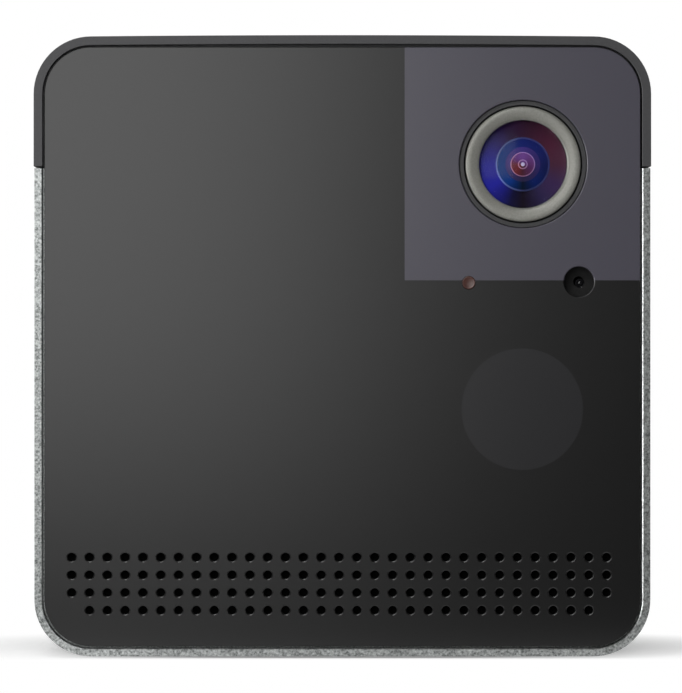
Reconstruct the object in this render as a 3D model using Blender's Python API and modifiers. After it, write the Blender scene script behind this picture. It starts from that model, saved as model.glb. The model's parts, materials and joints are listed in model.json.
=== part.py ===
"""Cube pet camera, each piece a separate solid. The front faces -Y and up is +Z."""
import math

import bmesh
import bpy
from mathutils import Matrix, Vector

MM = 0.001

# Clearances
fit_gap = 0.3 * MM          # between pieces that seat on each other
seam_gap = 0.2 * MM         # the hairline between the body and its cap
panel_gap = 0.25 * MM       # all round the front panel and the rear cover
overrun = 1.0 * MM          # how far a cutter runs past what it cuts

# Body and cap
body_width = 76.0 * MM
body_height = 76.4 * MM
body_depth = 76.2 * MM
corner_radius = 7.0 * MM
wall = 2.0 * MM
rim = 1.0 * MM
cap_height = 16.15 * MM
cap_proud = 0.1 * MM
cap_crown = 0.15 * MM
tongue_length = 4.0 * MM
tongue_thickness = 1.0 * MM
tongue_from = -10.0 * MM
tongue_to = 24.0 * MM
foot_proud = 0.2 * MM
foot_thickness = 0.5 * MM
foot_size = 56.0 * MM
foot_radius = 6.0 * MM
insert_radius = 4.8 * MM
insert_bore_radius = 3.2 * MM
insert_flange_radius = 6.2 * MM
insert_flange_thickness = 1.5 * MM
insert_height = 6.5 * MM
insert_top_wall = 0.8 * MM

# Front panel, frame and rear cover
panel_thickness = 1.2 * MM
panel_recess = 0.2 * MM
chassis_thickness = 1.8 * MM
cover_thickness = 2.0 * MM
cover_recess = 0.2 * MM
post_radius = 2.0 * MM
post_inset = 0.7 * MM
screw_radius = 0.8 * MM
screw_head_radius = 1.6 * MM
screw_head_height = 1.0 * MM
screw_length = 6.0 * MM
bore_depth = 7.0 * MM

# Speaker holes, counted in the pitch from the middle column
hole_pitch_x = 2.2 * MM
hole_pitch_z = 2.18 * MM
hole_radius = 0.53 * MM
hole_rows = 4
hole_sides = 8
grille_shift = -0.4 * MM      # the pattern lies a little left of the middle
grille_side = 5.0 * MM
grille_low_z = 5.7 * MM
slot_from_left = 8.0 * MM
slot_from_right = 16.0 * MM
slot_margin = 1.7 * MM
mesh_thickness = 0.5 * MM

# Lens and camera unit
lens_from_side = 15.7 * MM
lens_from_top = 15.65 * MM
lens_hole_radius = 7.9 * MM
collar_wall = 0.35 * MM
collar_gap = 0.15 * MM
collar_setback = 0.5 * MM
collar_flange_width = 1.0 * MM
barrel_radius = 7.25 * MM
barrel_bevel = 0.3 * MM
barrel_dish = 0.7 * MM
thread_radius = 6.0 * MM
thread_length = 6.5 * MM
glass_radius = 5.4 * MM
glass_crown = 0.8 * MM
glass_edge = 2.0 * MM
rear_glass_radius = 3.6 * MM
rear_glass_thickness = 2.0 * MM
rear_glass_crown = 0.5 * MM
holder_wall = 1.3 * MM
holder_size = 16.0 * MM
holder_depth = 5.0 * MM
holder_bore_radius = 4.4 * MM
slider_thickness = 0.8 * MM
slider_height = 8.8 * MM
slider_travel = 6.6 * MM
filter_size = 5.0 * MM
slider_rail = 1.3 * MM
sensor_size = 6.0 * MM
sensor_thickness = 0.9 * MM
coil_width = 7.0 * MM
coil_height = 4.0 * MM
camera_board_half = 13.0 * MM
camera_board_thickness = 1.2 * MM
camera_board_corner = 8.2 * MM
camera_screw_offset = 11.0 * MM
boss_radius = 1.9 * MM

# Night lights
led_board_radius = 12.6 * MM
led_board_bore = 8.3 * MM
led_board_thickness = 0.8 * MM
led_circle_radius = 11.2 * MM
led_radius = 1.2 * MM
led_crown = 0.5 * MM
led_count = 4

# Light sensor and status light
port_from_side = 8.8 * MM
port_from_top = 30.15 * MM
port_radius = 1.95 * MM
sleeve_wall = 0.7 * MM
sleeve_setback = 0.8 * MM
eye_radius = 0.55 * MM
light_from_side = 22.4 * MM
light_from_top = 30.3 * MM
light_radius = 0.75 * MM
light_gap = 0.2 * MM

# Speaker and microphone
speaker_from_side = 23.0 * MM
speaker_from_floor = 17.2 * MM
speaker_radius = 13.5 * MM
speaker_lip = 2.3 * MM
basket_depth = 7.5 * MM
basket_wall = 1.0 * MM
magnet_radius = 8.0 * MM
magnet_length = 5.0 * MM
cone_mouth_radius = 10.6 * MM
cone_throat_radius = 3.0 * MM
cone_depth = 4.2 * MM
cone_wall = 0.5 * MM
mic_from_side = 9.8 * MM
mic_radius = 2.0 * MM
mic_length = 2.2 * MM

# Laser unit
laser_from_side = 15.8 * MM
laser_from_top = 45.9 * MM
window_radius = 7.5 * MM
window_thickness = 0.5 * MM
window_gap = 0.2 * MM
beam_reach = 8.6 * MM       # from the chassis back to the two joint axes
module_radius = 3.0 * MM
module_length = 12.0 * MM
module_bore_radius = 2.3 * MM
beam_lens_radius = 2.0 * MM
beam_lens_thickness = 0.8 * MM
cradle_radius = 4.6 * MM
cradle_length = 5.0 * MM
trunnion_radius = 1.0 * MM
yoke_gap = 0.6 * MM
yoke_arm = 1.6 * MM
yoke_width = 7.0 * MM
yoke_drop = 7.4 * MM
yoke_top = 3.0 * MM
hub_radius = 2.4 * MM
hub_height = 1.8 * MM
shaft_radius = 0.8 * MM
pan_motor_radius = 4.0 * MM
pan_motor_height = 4.0 * MM
tilt_motor_radius = 3.0 * MM
tilt_motor_length = 4.4 * MM
bracket_half_width = 8.2 * MM
bracket_thickness = 1.2 * MM
bracket_depth = 13.0 * MM
bracket_screw_offset = 6.0 * MM

# Main board and what is on it
board_from_side = 8.5 * MM
board_from_floor = 5.5 * MM
board_from_top = 5.9 * MM
board_thickness = 1.6 * MM
board_setback = 7.0 * MM    # from the rear cover's inner face
board_boss_in_x = 4.5 * MM
board_boss_in_z = 6.5 * MM
chip_size = 14.0 * MM
chip_thickness = 1.2 * MM
chip_from_edge = 17.5 * MM
chip_from_low_edge = 26.0 * MM
sink_size = 16.0 * MM
sink_base = 1.2 * MM
sink_depth = 6.0 * MM
sink_fins = 6
wifi_width = 14.0 * MM
wifi_height = 11.0 * MM
wifi_thickness = 2.2 * MM
wifi_from_high_edge = 10.5 * MM
antenna_width = 32.0 * MM
antenna_depth = 7.0 * MM
antenna_thickness = 0.8 * MM
antenna_y = 4.0 * MM
usb_width = 7.6 * MM
usb_height = 2.9 * MM
usb_wall = 0.4 * MM
usb_z = 12.0 * MM
usb_setback = 0.6 * MM
relief_width = 12.0 * MM
relief_height = 7.5 * MM
relief_depth = 0.8 * MM
button_x = 14.0 * MM
button_radius = 1.5 * MM
button_lip = 0.8 * MM
button_lip_thickness = 0.8 * MM
button_travel = 0.4 * MM
button_slack = 0.1 * MM
switch_size = 4.0 * MM
switch_height = 2.6 * MM
ribbon_width = 8.0 * MM
ribbon_thickness = 0.4 * MM
ribbon_sag = 4.0 * MM
ribbon_drop = 8.5 * MM
cable_radius = 0.6 * MM
cable_reach = 9.0 * MM

# Places worked out from the sizes
floor_z = foot_proud                          # underside of the metal body
half_width = body_width / 2
front_y = -body_depth / 2
back_y = body_depth / 2
top_z = floor_z + body_height
split_z = top_z - cap_height
arc_x = half_width - corner_radius
arc_low_z = floor_z + corner_radius
arc_high_z = top_z - corner_radius
cavity_half = half_width - wall
panel_front = front_y + panel_recess
panel_back = panel_front + panel_thickness
chassis_front = panel_back + fit_gap
chassis_back = chassis_front + chassis_thickness
behind_chassis = chassis_back + fit_gap
cover_back = back_y - cover_recess
cover_front = cover_back - cover_thickness
post_end = cover_front - fit_gap
lens_at = (half_width - lens_from_side, top_z - lens_from_top)
laser_at = (half_width - laser_from_side, top_z - laser_from_top)
laser_x = laser_at[0]
port_at = (half_width - port_from_side, top_z - port_from_top)
light_at = (half_width - light_from_side, top_z - light_from_top)
speaker_at = (speaker_from_side - half_width, floor_z + speaker_from_floor)
mic_x = half_width - mic_from_side
slot_left = slot_from_left - half_width
slot_right = half_width - slot_from_right
hole_columns = 1 + round((body_width - 2 * grille_side) / hole_pitch_x)
post_offset = corner_radius - wall - fit_gap - post_radius - post_inset
post_x = arc_x + post_offset
post_places = [(side * post_x, z) for side in (-1, 1)
               for z in (arc_low_z - post_offset, arc_high_z + post_offset)]
board_back = cover_front - board_setback
board_front = board_back - board_thickness
on_board = board_front - fit_gap
board_half_width = half_width - board_from_side
board_low = floor_z + board_from_floor
board_high = top_z - board_from_top
chip_x = chip_from_edge - board_half_width
chip_z = board_low + chip_from_low_edge
wifi_z = board_high - wifi_from_high_edge
joint_y = chassis_back + beam_reach

CORNER_STEPS = 8
ROUND_STEPS = 28

FINISH = {
    "blasted_aluminium": ((0.48, 0.49, 0.49), 0.45, 1.0),
    "black_abs": ((0.035, 0.034, 0.036), 0.45, 0.0),
    "black_acrylic": ((0.012, 0.012, 0.013), 0.15, 0.0),
    "grey_barrel": ((0.14, 0.14, 0.13), 0.35, 0.6),
    "glass": ((0.05, 0.05, 0.16), 0.05, 0.0),
    "red_light_pipe": ((0.14, 0.05, 0.035), 0.25, 0.0),
    "rubber": ((0.02, 0.02, 0.02), 0.8, 0.0),
    "brass": ((0.7, 0.5, 0.22), 0.3, 1.0),
    "steel": ((0.5, 0.5, 0.5), 0.35, 1.0),
    "green_board": ((0.02, 0.12, 0.06), 0.5, 0.0),
    "chip_black": ((0.02, 0.02, 0.022), 0.55, 0.0),
    "paper_cone": ((0.03, 0.03, 0.03), 0.8, 0.0),
    "amber_film": ((0.45, 0.2, 0.04), 0.4, 0.0),
    "grey_pom": ((0.3, 0.3, 0.3), 0.5, 0.0),
}


def clear_scene():
    for old in list(bpy.data.objects):
        bpy.data.objects.remove(old, do_unlink=True)


def make_collection(name):
    collection = bpy.data.collections.new(name)
    bpy.context.scene.collection.children.link(collection)
    return collection


def paint(obj, finish):
    """Give the object its own Principled material."""
    colour, roughness, metallic = FINISH[finish]
    material = bpy.data.materials.new(obj.name + "_" + finish)
    material.use_nodes = True
    shader = material.node_tree.nodes["Principled BSDF"]
    shader.inputs["Base Color"].default_value = (*colour, 1.0)
    shader.inputs["Roughness"].default_value = roughness
    shader.inputs["Metallic"].default_value = metallic
    obj.data.materials.clear()
    obj.data.materials.append(material)


def add(name, data, finish):
    obj = bpy.data.objects.new(name, data)
    parts.objects.link(obj)
    if finish:
        paint(obj, finish)
    return obj


def as_cutter(obj):
    parts.objects.unlink(obj)
    cutters.objects.link(obj)
    obj.hide_render = True
    obj.display_type = "WIRE"


def combine(target, operand, operation):
    modifier = target.modifiers.new(operation.lower(), "BOOLEAN")
    modifier.operation = operation
    modifier.object = operand
    as_cutter(operand)


def cut(target, *operands):
    for operand in operands:
        combine(target, operand, "DIFFERENCE")


def join(target, *operands):
    for operand in operands:
        combine(target, operand, "UNION")


# Shapes
def box(name, x, y, z, finish=None):
    """A block from its low and high place along each axis."""
    low = Vector((x[0], y[0], z[0]))
    high = Vector((x[1], y[1], z[1]))
    mesh = bpy.data.meshes.new(name)
    shape = bmesh.new()
    bmesh.ops.create_cube(shape, size=1.0, matrix=Matrix.Diagonal((*(high - low), 1.0)))
    shape.to_mesh(mesh)
    shape.free()
    obj = add(name, mesh, finish)
    obj.location = (low + high) / 2
    return obj


TURN = {
    "X": Matrix.Rotation(math.radians(90), 4, "Y"),
    "Y": Matrix.Rotation(math.radians(-90), 4, "X"),
    "Z": Matrix.Identity(4),
}


def turned(name, profile, centre, finish=None, axis="Y", closed=True, steps=ROUND_STEPS):
    """A profile of (radius, distance along the axis) turned about an axis through centre."""
    area = sum(a[0] * b[1] - b[0] * a[1] for a, b in zip(profile, profile[1:] + profile[:1]))
    points = profile if area < 0 else profile[::-1]
    edges = [(i, i + 1) for i in range(len(points) - 1)]
    if closed:
        edges.append((len(points) - 1, 0))
    mesh = bpy.data.meshes.new(name)
    mesh.from_pydata([(radius, 0, along) for radius, along in points], edges, [])
    obj = add(name, mesh, finish)
    obj.matrix_world = Matrix.Translation(centre) @ TURN[axis]
    screw = obj.modifiers.new("turn", "SCREW")
    screw.angle = math.tau
    screw.steps = steps
    screw.render_steps = steps
    screw.use_merge_vertices = True
    screw.merge_threshold = 0.000001
    return obj


def turned_y(name, profile, at, finish=None, closed=True, steps=ROUND_STEPS):
    """Turned about a line along Y through (x, z), its profile in (radius, y)."""
    return turned(name, profile, (at[0], 0, at[1]), finish, "Y", closed, steps)


def disc_y(name, radius, y, at, finish=None, steps=ROUND_STEPS):
    return turned_y(name, [(0, y[0]), (radius, y[0]), (radius, y[1]), (0, y[1])],
                    at, finish, False, steps)


def ring_y(name, inner, outer, y, at, finish=None):
    return turned_y(name, [(inner, y[0]), (outer, y[0]), (outer, y[1]), (inner, y[1])],
                    at, finish)


def crowned_disc_y(name, radius, y, crown, at, finish, rings=4, steps=ROUND_STEPS):
    """A disc whose front bulges towards -Y by crown."""
    rim_y, end_y = y
    profile = [(radius * i / rings, rim_y - crown * (1 - (i / rings) ** 2))
               for i in range(rings + 1)]
    profile += [(radius, end_y), (0, end_y)]
    return turned_y(name, profile, at, finish, False, steps)


def discs_y(name, radius, y, places, finish=None, steps=16):
    """Equal cylinders along Y in one object, for several holes or posts at once."""
    mesh = bpy.data.meshes.new(name)
    shape = bmesh.new()
    turn = Matrix.Rotation(math.radians(90), 4, "X")
    for x, z in places:
        place = Matrix.Translation((x, (y[0] + y[1]) / 2, z)) @ turn
        bmesh.ops.create_cone(shape, cap_ends=True, segments=steps, radius1=radius,
                              radius2=radius, depth=y[1] - y[0], matrix=place)
    shape.to_mesh(mesh)
    shape.free()
    return add(name, mesh, finish)


def arc(centre, radius, start, end, steps=CORNER_STEPS):
    """Points on a circle from start to end, in degrees."""
    angles = [math.radians(start + (end - start) * i / steps) for i in range(steps + 1)]
    return [(centre[0] + radius * math.cos(a), centre[1] + radius * math.sin(a)) for a in angles]


def circle(centre, radius, sides=ROUND_STEPS):
    return arc(centre, radius, 0, 360, sides)[:-1]


def rounded(low, high, radius):
    """A rounded rectangle's outline from its low to its high corner."""
    left, right = low[0] + radius, high[0] - radius
    bottom, top = low[1] + radius, high[1] - radius
    return (arc((left, bottom), radius, 180, 270) + arc((right, bottom), radius, 270, 360)
            + arc((right, top), radius, 0, 90) + arc((left, top), radius, 90, 180))


def rectangle(low, high):
    return [low, (high[0], low[1]), high, (low[0], high[1])]


def around_body(inset):
    """The body's front outline drawn in by inset."""
    return rounded((-half_width + inset, floor_z + inset),
                   (half_width - inset, top_z - inset), corner_radius - inset)


def plate(name, outlines, span, finish=None, normal="Y"):
    """A flat outline, with its holes, made solid between two places along its normal."""
    curve = bpy.data.curves.new(name + "_outline", "CURVE")
    curve.dimensions = "2D"
    curve.fill_mode = "BOTH"
    curve.extrude = (span[1] - span[0]) / 2
    for outline in outlines:
        spline = curve.splines.new("POLY")
        spline.points.add(len(outline) - 1)
        spline.use_cyclic_u = True
        for point, place in zip(spline.points, outline):
            point.co = (place[0], place[1], 0, 1)
    drawn = bpy.data.objects.new(name + "_outline", curve)
    parts.objects.link(drawn)
    if normal == "Y":
        drawn.rotation_euler.x = math.radians(90)
        drawn.location.y = (span[0] + span[1]) / 2
    elif normal == "X":
        drawn.rotation_euler = (math.radians(90), 0, math.radians(90))
        drawn.location.x = (span[0] + span[1]) / 2
    else:
        drawn.location.z = (span[0] + span[1]) / 2
    bpy.context.view_layer.update()
    graph = bpy.context.evaluated_depsgraph_get()
    mesh = bpy.data.meshes.new_from_object(drawn.evaluated_get(graph))
    shape = bmesh.new()
    shape.from_mesh(mesh)
    bmesh.ops.remove_doubles(shape, verts=shape.verts, dist=0.000001)
    shape.to_mesh(mesh)
    shape.free()
    obj = add(name, mesh, finish)
    obj.matrix_world = drawn.matrix_world
    bpy.data.objects.remove(drawn, do_unlink=True)
    return obj


def screw_y(name, head_at, direction, at):
    """A screw along Y whose head's inner face is at head_at and whose tip points to direction."""
    outer = head_at - direction * screw_head_height
    tip = head_at + direction * screw_length
    profile = [(0, outer), (screw_head_radius, outer), (screw_head_radius, head_at),
               (screw_radius, head_at), (screw_radius, tip), (0, tip)]
    return turned_y(name, profile, at, "steel", False, 12)


# Body, cap, foot and tripod insert
def rebates(name):
    """The two steps that take the front panel and the rear cover."""
    front = (front_y - overrun, chassis_front)
    back = (cover_front - fit_gap, back_y + overrun)
    return [plate(name + "_front_rebate", [around_body(rim)], front),
            plate(name + "_back_rebate", [around_body(rim)], back)]


def make_body():
    left, right = (-arc_x, arc_low_z), (arc_x, arc_low_z)
    inner = corner_radius - wall
    outline = [(-half_width, split_z)]
    outline += arc(left, corner_radius, 180, 270) + arc(right, corner_radius, 270, 360)
    outline += [(half_width, split_z), (cavity_half, split_z)]
    outline += arc(right, inner, 360, 270) + arc(left, inner, 270, 180)
    outline += [(-cavity_half, split_z)]
    body = plate("aluminium_body", [outline], (front_y, back_y), "blasted_aluminium")
    cut(body, *rebates("body"))
    half = foot_size / 2 + fit_gap
    recess = rounded((-half, -half), (half, half), foot_radius + fit_gap)
    cut(body, plate("foot_recess", [recess], (-overrun, foot_thickness + fit_gap), None, "Z"))
    hole = [(0, -overrun), (insert_radius + fit_gap, -overrun),
            (insert_radius + fit_gap, floor_z + wall + overrun), (0, floor_z + wall + overrun)]
    cut(body, turned("insert_hole", hole, (0, 0, 0), None, "Z", False))


def make_cap():
    low = split_z + seam_gap
    left, right = (-arc_x, arc_high_z), (arc_x, arc_high_z)
    outer = corner_radius + cap_proud
    inner = corner_radius - wall
    steps = 12
    crown = []
    for i in range(1, steps):
        share = 2 * i / steps - 1
        crown.append((share * arc_x, top_z + cap_proud + cap_crown * (1 - share ** 2)))
    outline = [(-half_width - cap_proud, low)] + arc(left, outer, 180, 90) + crown
    outline += arc(right, outer, 90, 0)
    outline += [(half_width + cap_proud, low), (cavity_half, low)]
    outline += arc(right, inner, 0, 90) + arc(left, inner, 90, 180)
    outline += [(-cavity_half, low)]
    cap = plate("antenna_cap", [outline], (front_y, back_y), "black_abs")
    cut(cap, *rebates("cap"))
    face = cavity_half - fit_gap
    back = face - tongue_thickness
    root = cavity_half + wall / 2
    for side, name in ((-1, "left_tongue"), (1, "right_tongue")):
        outline = [(back, split_z - tongue_length), (face, split_z - tongue_length),
                   (face, low + seam_gap), (root, low + seam_gap),
                   (root, low + tongue_length), (back, low + tongue_length)]
        join(cap, plate(name, [[(side * x, z) for x, z in outline]], (tongue_from, tongue_to)))


def make_foot():
    half = foot_size / 2
    outline = rounded((-half, -half), (half, half), foot_radius)
    hole = circle((0, 0), insert_radius + 2 * fit_gap)
    plate("foot_pad", [outline, hole], (0, foot_thickness), "rubber", "Z")
    low = foot_thickness
    flange_low = floor_z + wall + fit_gap
    flange_high = flange_low + insert_flange_thickness
    top = low + insert_height
    bore_top = top - insert_top_wall
    profile = [(0, top), (insert_radius, top), (insert_radius, flange_high),
               (insert_flange_radius, flange_high), (insert_flange_radius, flange_low),
               (insert_radius, flange_low), (insert_radius, low), (insert_bore_radius, low),
               (insert_bore_radius, bore_top), (0, bore_top)]
    turned("tripod_insert", profile, (0, 0, 0), "brass", "Z", False, 32)


# Front panel and the frame behind it
def grille_places():
    places = []
    for row in range(hole_rows):
        skipped = 1 if row == 0 else 0
        for column in range(skipped, hole_columns - skipped):
            x = grille_shift + (column - (hole_columns - 1) / 2) * hole_pitch_x
            places.append((x, floor_z + grille_low_z + row * hole_pitch_z))
    return places


def make_panel():
    outlines = [around_body(rim + panel_gap), circle(lens_at, lens_hole_radius, 40),
                circle(port_at, port_radius, 16), circle(light_at, light_radius + light_gap, 12)]
    outlines += [circle(place, hole_radius, hole_sides) for place in grille_places()]
    panel = plate("front_panel", outlines, (panel_front, panel_back), "black_acrylic")
    pocket_floor = panel_back - window_thickness - window_gap
    cut(panel, disc_y("window_pocket", window_radius + window_gap,
                      (pocket_floor, panel_back + overrun), laser_at))
    disc_y("laser_window", window_radius,
           (pocket_floor + window_gap, pocket_floor + window_gap + window_thickness),
           laser_at, "glass")


def camera_boss_places():
    x, z = lens_at
    return [(x - camera_screw_offset, z + camera_screw_offset),
            (x + camera_screw_offset, z - camera_screw_offset)]


def bracket_screw_places():
    z = laser_at[1] - yoke_drop - hub_height - pan_motor_height / 2
    return [(laser_x - bracket_screw_offset, z), (laser_x + bracket_screw_offset, z)]


def led_places():
    return arc(lens_at, led_circle_radius, 0, 360, led_count)[:-1]


def grille_middle_z():
    return floor_z + grille_low_z + (hole_rows - 1) * hole_pitch_z / 2


def slot_heights():
    reach = (hole_rows - 1) * hole_pitch_z / 2 + slot_margin
    return grille_middle_z() - reach, grille_middle_z() + reach


def make_chassis():
    collar_flange = lens_hole_radius + collar_flange_width
    outlines = [around_body(wall + fit_gap), circle(lens_at, collar_flange + fit_gap),
                circle(laser_at, window_radius),
                circle(port_at, port_radius + sleeve_wall + fit_gap, 16),
                circle(light_at, light_radius + fit_gap, 12),
                circle((mic_x, grille_middle_z()), mic_radius + fit_gap, 16)]
    outlines += [circle(place, led_radius + fit_gap, 12) for place in led_places()]
    frame = plate("chassis", outlines, (chassis_front, chassis_back), "black_abs")
    through = (chassis_front - overrun, chassis_back + overrun)
    cut(frame, box("mesh_slot", (slot_left, slot_right), through, slot_heights()),
        disc_y("speaker_opening", speaker_radius - speaker_lip, through, speaker_at))
    root = chassis_back - chassis_thickness / 2
    join(frame, discs_y("posts", post_radius, (root, post_end), post_places),
         discs_y("camera_bosses", boss_radius, (root, camera_board_front() - fit_gap),
                 camera_boss_places()))
    bore = screw_radius + fit_gap
    cut(frame, discs_y("post_bores", bore, (post_end - bore_depth, post_end + overrun),
                       post_places, None, 12),
        discs_y("camera_bores", bore,
                (camera_board_front() - fit_gap - bore_depth, camera_board_front()),
                camera_boss_places(), None, 12),
        discs_y("bracket_bores", bore, through, bracket_screw_places(), None, 12))


def make_lens():
    inner = barrel_radius + collar_gap
    outer = inner + collar_wall
    flange = lens_hole_radius + collar_flange_width
    turned_y("lens_collar", [(inner, panel_front + collar_setback),
                             (outer, panel_front + collar_setback), (outer, chassis_front),
                             (flange, chassis_front), (flange, chassis_back),
                             (inner, chassis_back)], lens_at, "black_abs", True, 40)
    pocket = glass_radius + collar_gap
    seat = glass_back() + fit_gap
    bore = rear_glass_radius + fit_gap
    profile = [(pocket, panel_front + barrel_dish), (barrel_radius - barrel_bevel, panel_front),
               (barrel_radius, panel_front + barrel_bevel), (barrel_radius, barrel_shoulder()),
               (thread_radius, barrel_shoulder()), (thread_radius, thread_end()),
               (bore, thread_end()), (bore, seat), (pocket, seat)]
    turned_y("lens_barrel", profile, lens_at, "grey_barrel", True, 40)
    crowned_disc_y("front_lens", glass_radius, (glass_front(), glass_back()), glass_crown,
                   lens_at, "glass")
    rear = seat + fit_gap + rear_glass_crown
    crowned_disc_y("rear_lens", rear_glass_radius, (rear, rear + rear_glass_thickness),
                   rear_glass_crown, lens_at, "glass", 3, 20)


def glass_front():
    return panel_front + barrel_dish


def glass_back():
    return glass_front() + glass_edge


def barrel_shoulder():
    return behind_chassis + led_board_thickness / 2


def thread_end():
    return barrel_shoulder() + thread_length


def holder_front():
    return thread_end() + fit_gap


def holder_back():
    return holder_front() + holder_depth


def camera_board_front():
    return holder_back() + fit_gap


def make_holder():
    x, z = lens_at
    half = holder_size / 2
    inner = thread_radius + fit_gap
    body = box("lens_holder", (x - half, x + half), (holder_front(), holder_back()),
               (z - half, z + half), "chip_black")
    root = holder_front() + (holder_depth - slider_thickness) / 4
    join(body, ring_y("holder_tube", inner, inner + holder_wall,
                      (barrel_shoulder() + fit_gap, root), lens_at))
    cut(body, disc_y("holder_bore", holder_bore_radius,
                     (holder_front() - overrun, holder_back() + overrun), lens_at))
    middle = (holder_front() + holder_back()) / 2
    reach = slider_thickness / 2 + fit_gap
    cut(body, box("slider_slot", (x - half - overrun, x + half + overrun),
                  (middle - reach, middle + reach),
                  (z - slider_height / 2 - fit_gap, z + slider_height / 2 + fit_gap)))
    make_filter(x, middle, z)
    make_image_sensor(x, z)


def make_filter(x, middle, z):
    """The slider holds the infrared glass and, one travel to its side, an open window."""
    opening = filter_size / 2 + fit_gap
    left = -opening - slider_rail
    right = slider_travel + opening + slider_rail
    half = slider_height / 2
    windows = [rectangle((shift - opening, -opening), (shift + opening, opening))
               for shift in (0, slider_travel)]
    thickness = (-slider_thickness / 2, slider_thickness / 2)
    axis = add("filter_slide_axis", None, None)
    axis.location = (x, middle, z)
    slider = plate("filter_slider", [rectangle((left, -half), (right, half)), *windows],
                   thickness, "grey_pom")
    slider.parent = axis
    reach = (-filter_size / 2, filter_size / 2)
    glass = box("filter_glass", reach, thickness, reach, "red_light_pipe")
    glass.parent = axis
    base = z - holder_size / 2 - fit_gap
    box("filter_coil", (x - coil_width / 2, x + coil_width / 2), (holder_front(), holder_back()),
        (base - coil_height, base), "steel")


def make_image_sensor(x, z):
    half = sensor_size / 2
    box("image_sensor", (x - half, x + half),
        (holder_back() - sensor_thickness, holder_back()), (z - half, z + half), "chip_black")
    edge = camera_board_half
    outline = [(x - edge, z - edge), (x + edge, z - edge), (x + edge, z + edge - camera_board_corner),
               (x + edge - camera_board_corner, z + edge), (x - edge, z + edge)]
    back = camera_board_front() + camera_board_thickness
    holes = [circle(place, screw_radius + fit_gap, 12) for place in camera_boss_places()]
    plate("camera_board", [outline, *holes], (camera_board_front(), back), "green_board")
    for number, place in enumerate(camera_boss_places(), 1):
        screw_y(f"camera_screw_{number}", back + fit_gap, -1, place)


def make_night_lights():
    plate("led_board", [circle(lens_at, led_board_radius), circle(lens_at, led_board_bore)],
          (behind_chassis, behind_chassis + led_board_thickness), "green_board")
    for number, place in enumerate(led_places(), 1):
        crowned_disc_y(f"infrared_led_{number}", led_radius,
                       (chassis_front + fit_gap + led_crown, chassis_back), led_crown,
                       place, "glass", 2, 12)


def make_light_and_sensor():
    outer = port_radius + sleeve_wall
    bore = outer - 2 * sleeve_wall
    ring_y("sensor_sleeve", bore, outer, (chassis_front, chassis_back + sleeve_setback),
           port_at, "rubber")
    front = chassis_front + fit_gap
    body = bore - fit_gap
    profile = [(0, front), (eye_radius * 0.7, front + eye_radius * 0.3),
               (eye_radius, front + eye_radius), (body, front + eye_radius),
               (body, chassis_back + sleeve_setback), (0, chassis_back + sleeve_setback)]
    turned_y("light_sensor", profile, port_at, "glass", False, 16)
    disc_y("status_light", light_radius, (panel_front, chassis_back), light_at,
           "red_light_pipe", 16)


# Speaker and microphone
def make_speaker():
    low, high = slot_heights()
    box("speaker_mesh", (slot_left + fit_gap, slot_right - fit_gap),
        (chassis_front, chassis_front + mesh_thickness), (low + fit_gap, high - fit_gap), "steel")
    rim_y = behind_chassis
    mouth = speaker_radius - speaker_lip
    neck_y = rim_y + basket_depth
    throat = magnet_radius - basket_wall
    profile = [(mouth, rim_y), (speaker_radius, rim_y), (speaker_radius, rim_y + basket_wall),
               (mouth + basket_wall, rim_y + 2 * basket_wall), (magnet_radius, neck_y),
               (cone_throat_radius, neck_y), (cone_throat_radius, neck_y - basket_wall),
               (throat, neck_y - basket_wall), (mouth, rim_y + 2 * basket_wall)]
    turned_y("speaker_frame", profile, speaker_at, "steel")
    front = rim_y + fit_gap
    back = front + cone_depth + cone_wall
    profile = [(0, front + cone_depth), (cone_throat_radius, front + cone_depth),
               (cone_mouth_radius - cone_wall, front), (cone_mouth_radius, front),
               (cone_mouth_radius, front + cone_wall), (cone_throat_radius, back), (0, back)]
    turned_y("speaker_cone", profile, speaker_at, "paper_cone", False)
    disc_y("speaker_magnet", magnet_radius,
           (neck_y + fit_gap, neck_y + fit_gap + magnet_length), speaker_at, "steel")
    disc_y("microphone", mic_radius, (chassis_front + fit_gap, chassis_front + fit_gap + mic_length),
           (mic_x, grille_middle_z()), "steel", 16)


# Laser unit
def upright(name, radius, z, finish=None, steps=ROUND_STEPS):
    """A cylinder along Z on the pan axis."""
    profile = [(0, z[0]), (radius, z[0]), (radius, z[1]), (0, z[1])]
    return turned(name, profile, (laser_x, joint_y, 0), finish, "Z", False, steps)


def across(name, radius, x, finish=None, steps=16):
    """A cylinder along X on the tilt axis."""
    profile = [(0, x[0]), (radius, x[0]), (radius, x[1]), (0, x[1])]
    return turned(name, profile, (laser_x, joint_y, laser_at[1]), finish, "X", False, steps)


def ride(empty, *pieces):
    """Parent pieces to an empty and leave them where they are."""
    bpy.context.view_layer.update()
    for piece in pieces:
        place = piece.matrix_world.copy()
        piece.parent = empty
        piece.matrix_parent_inverse = empty.matrix_world.inverted()
        piece.matrix_world = place


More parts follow.
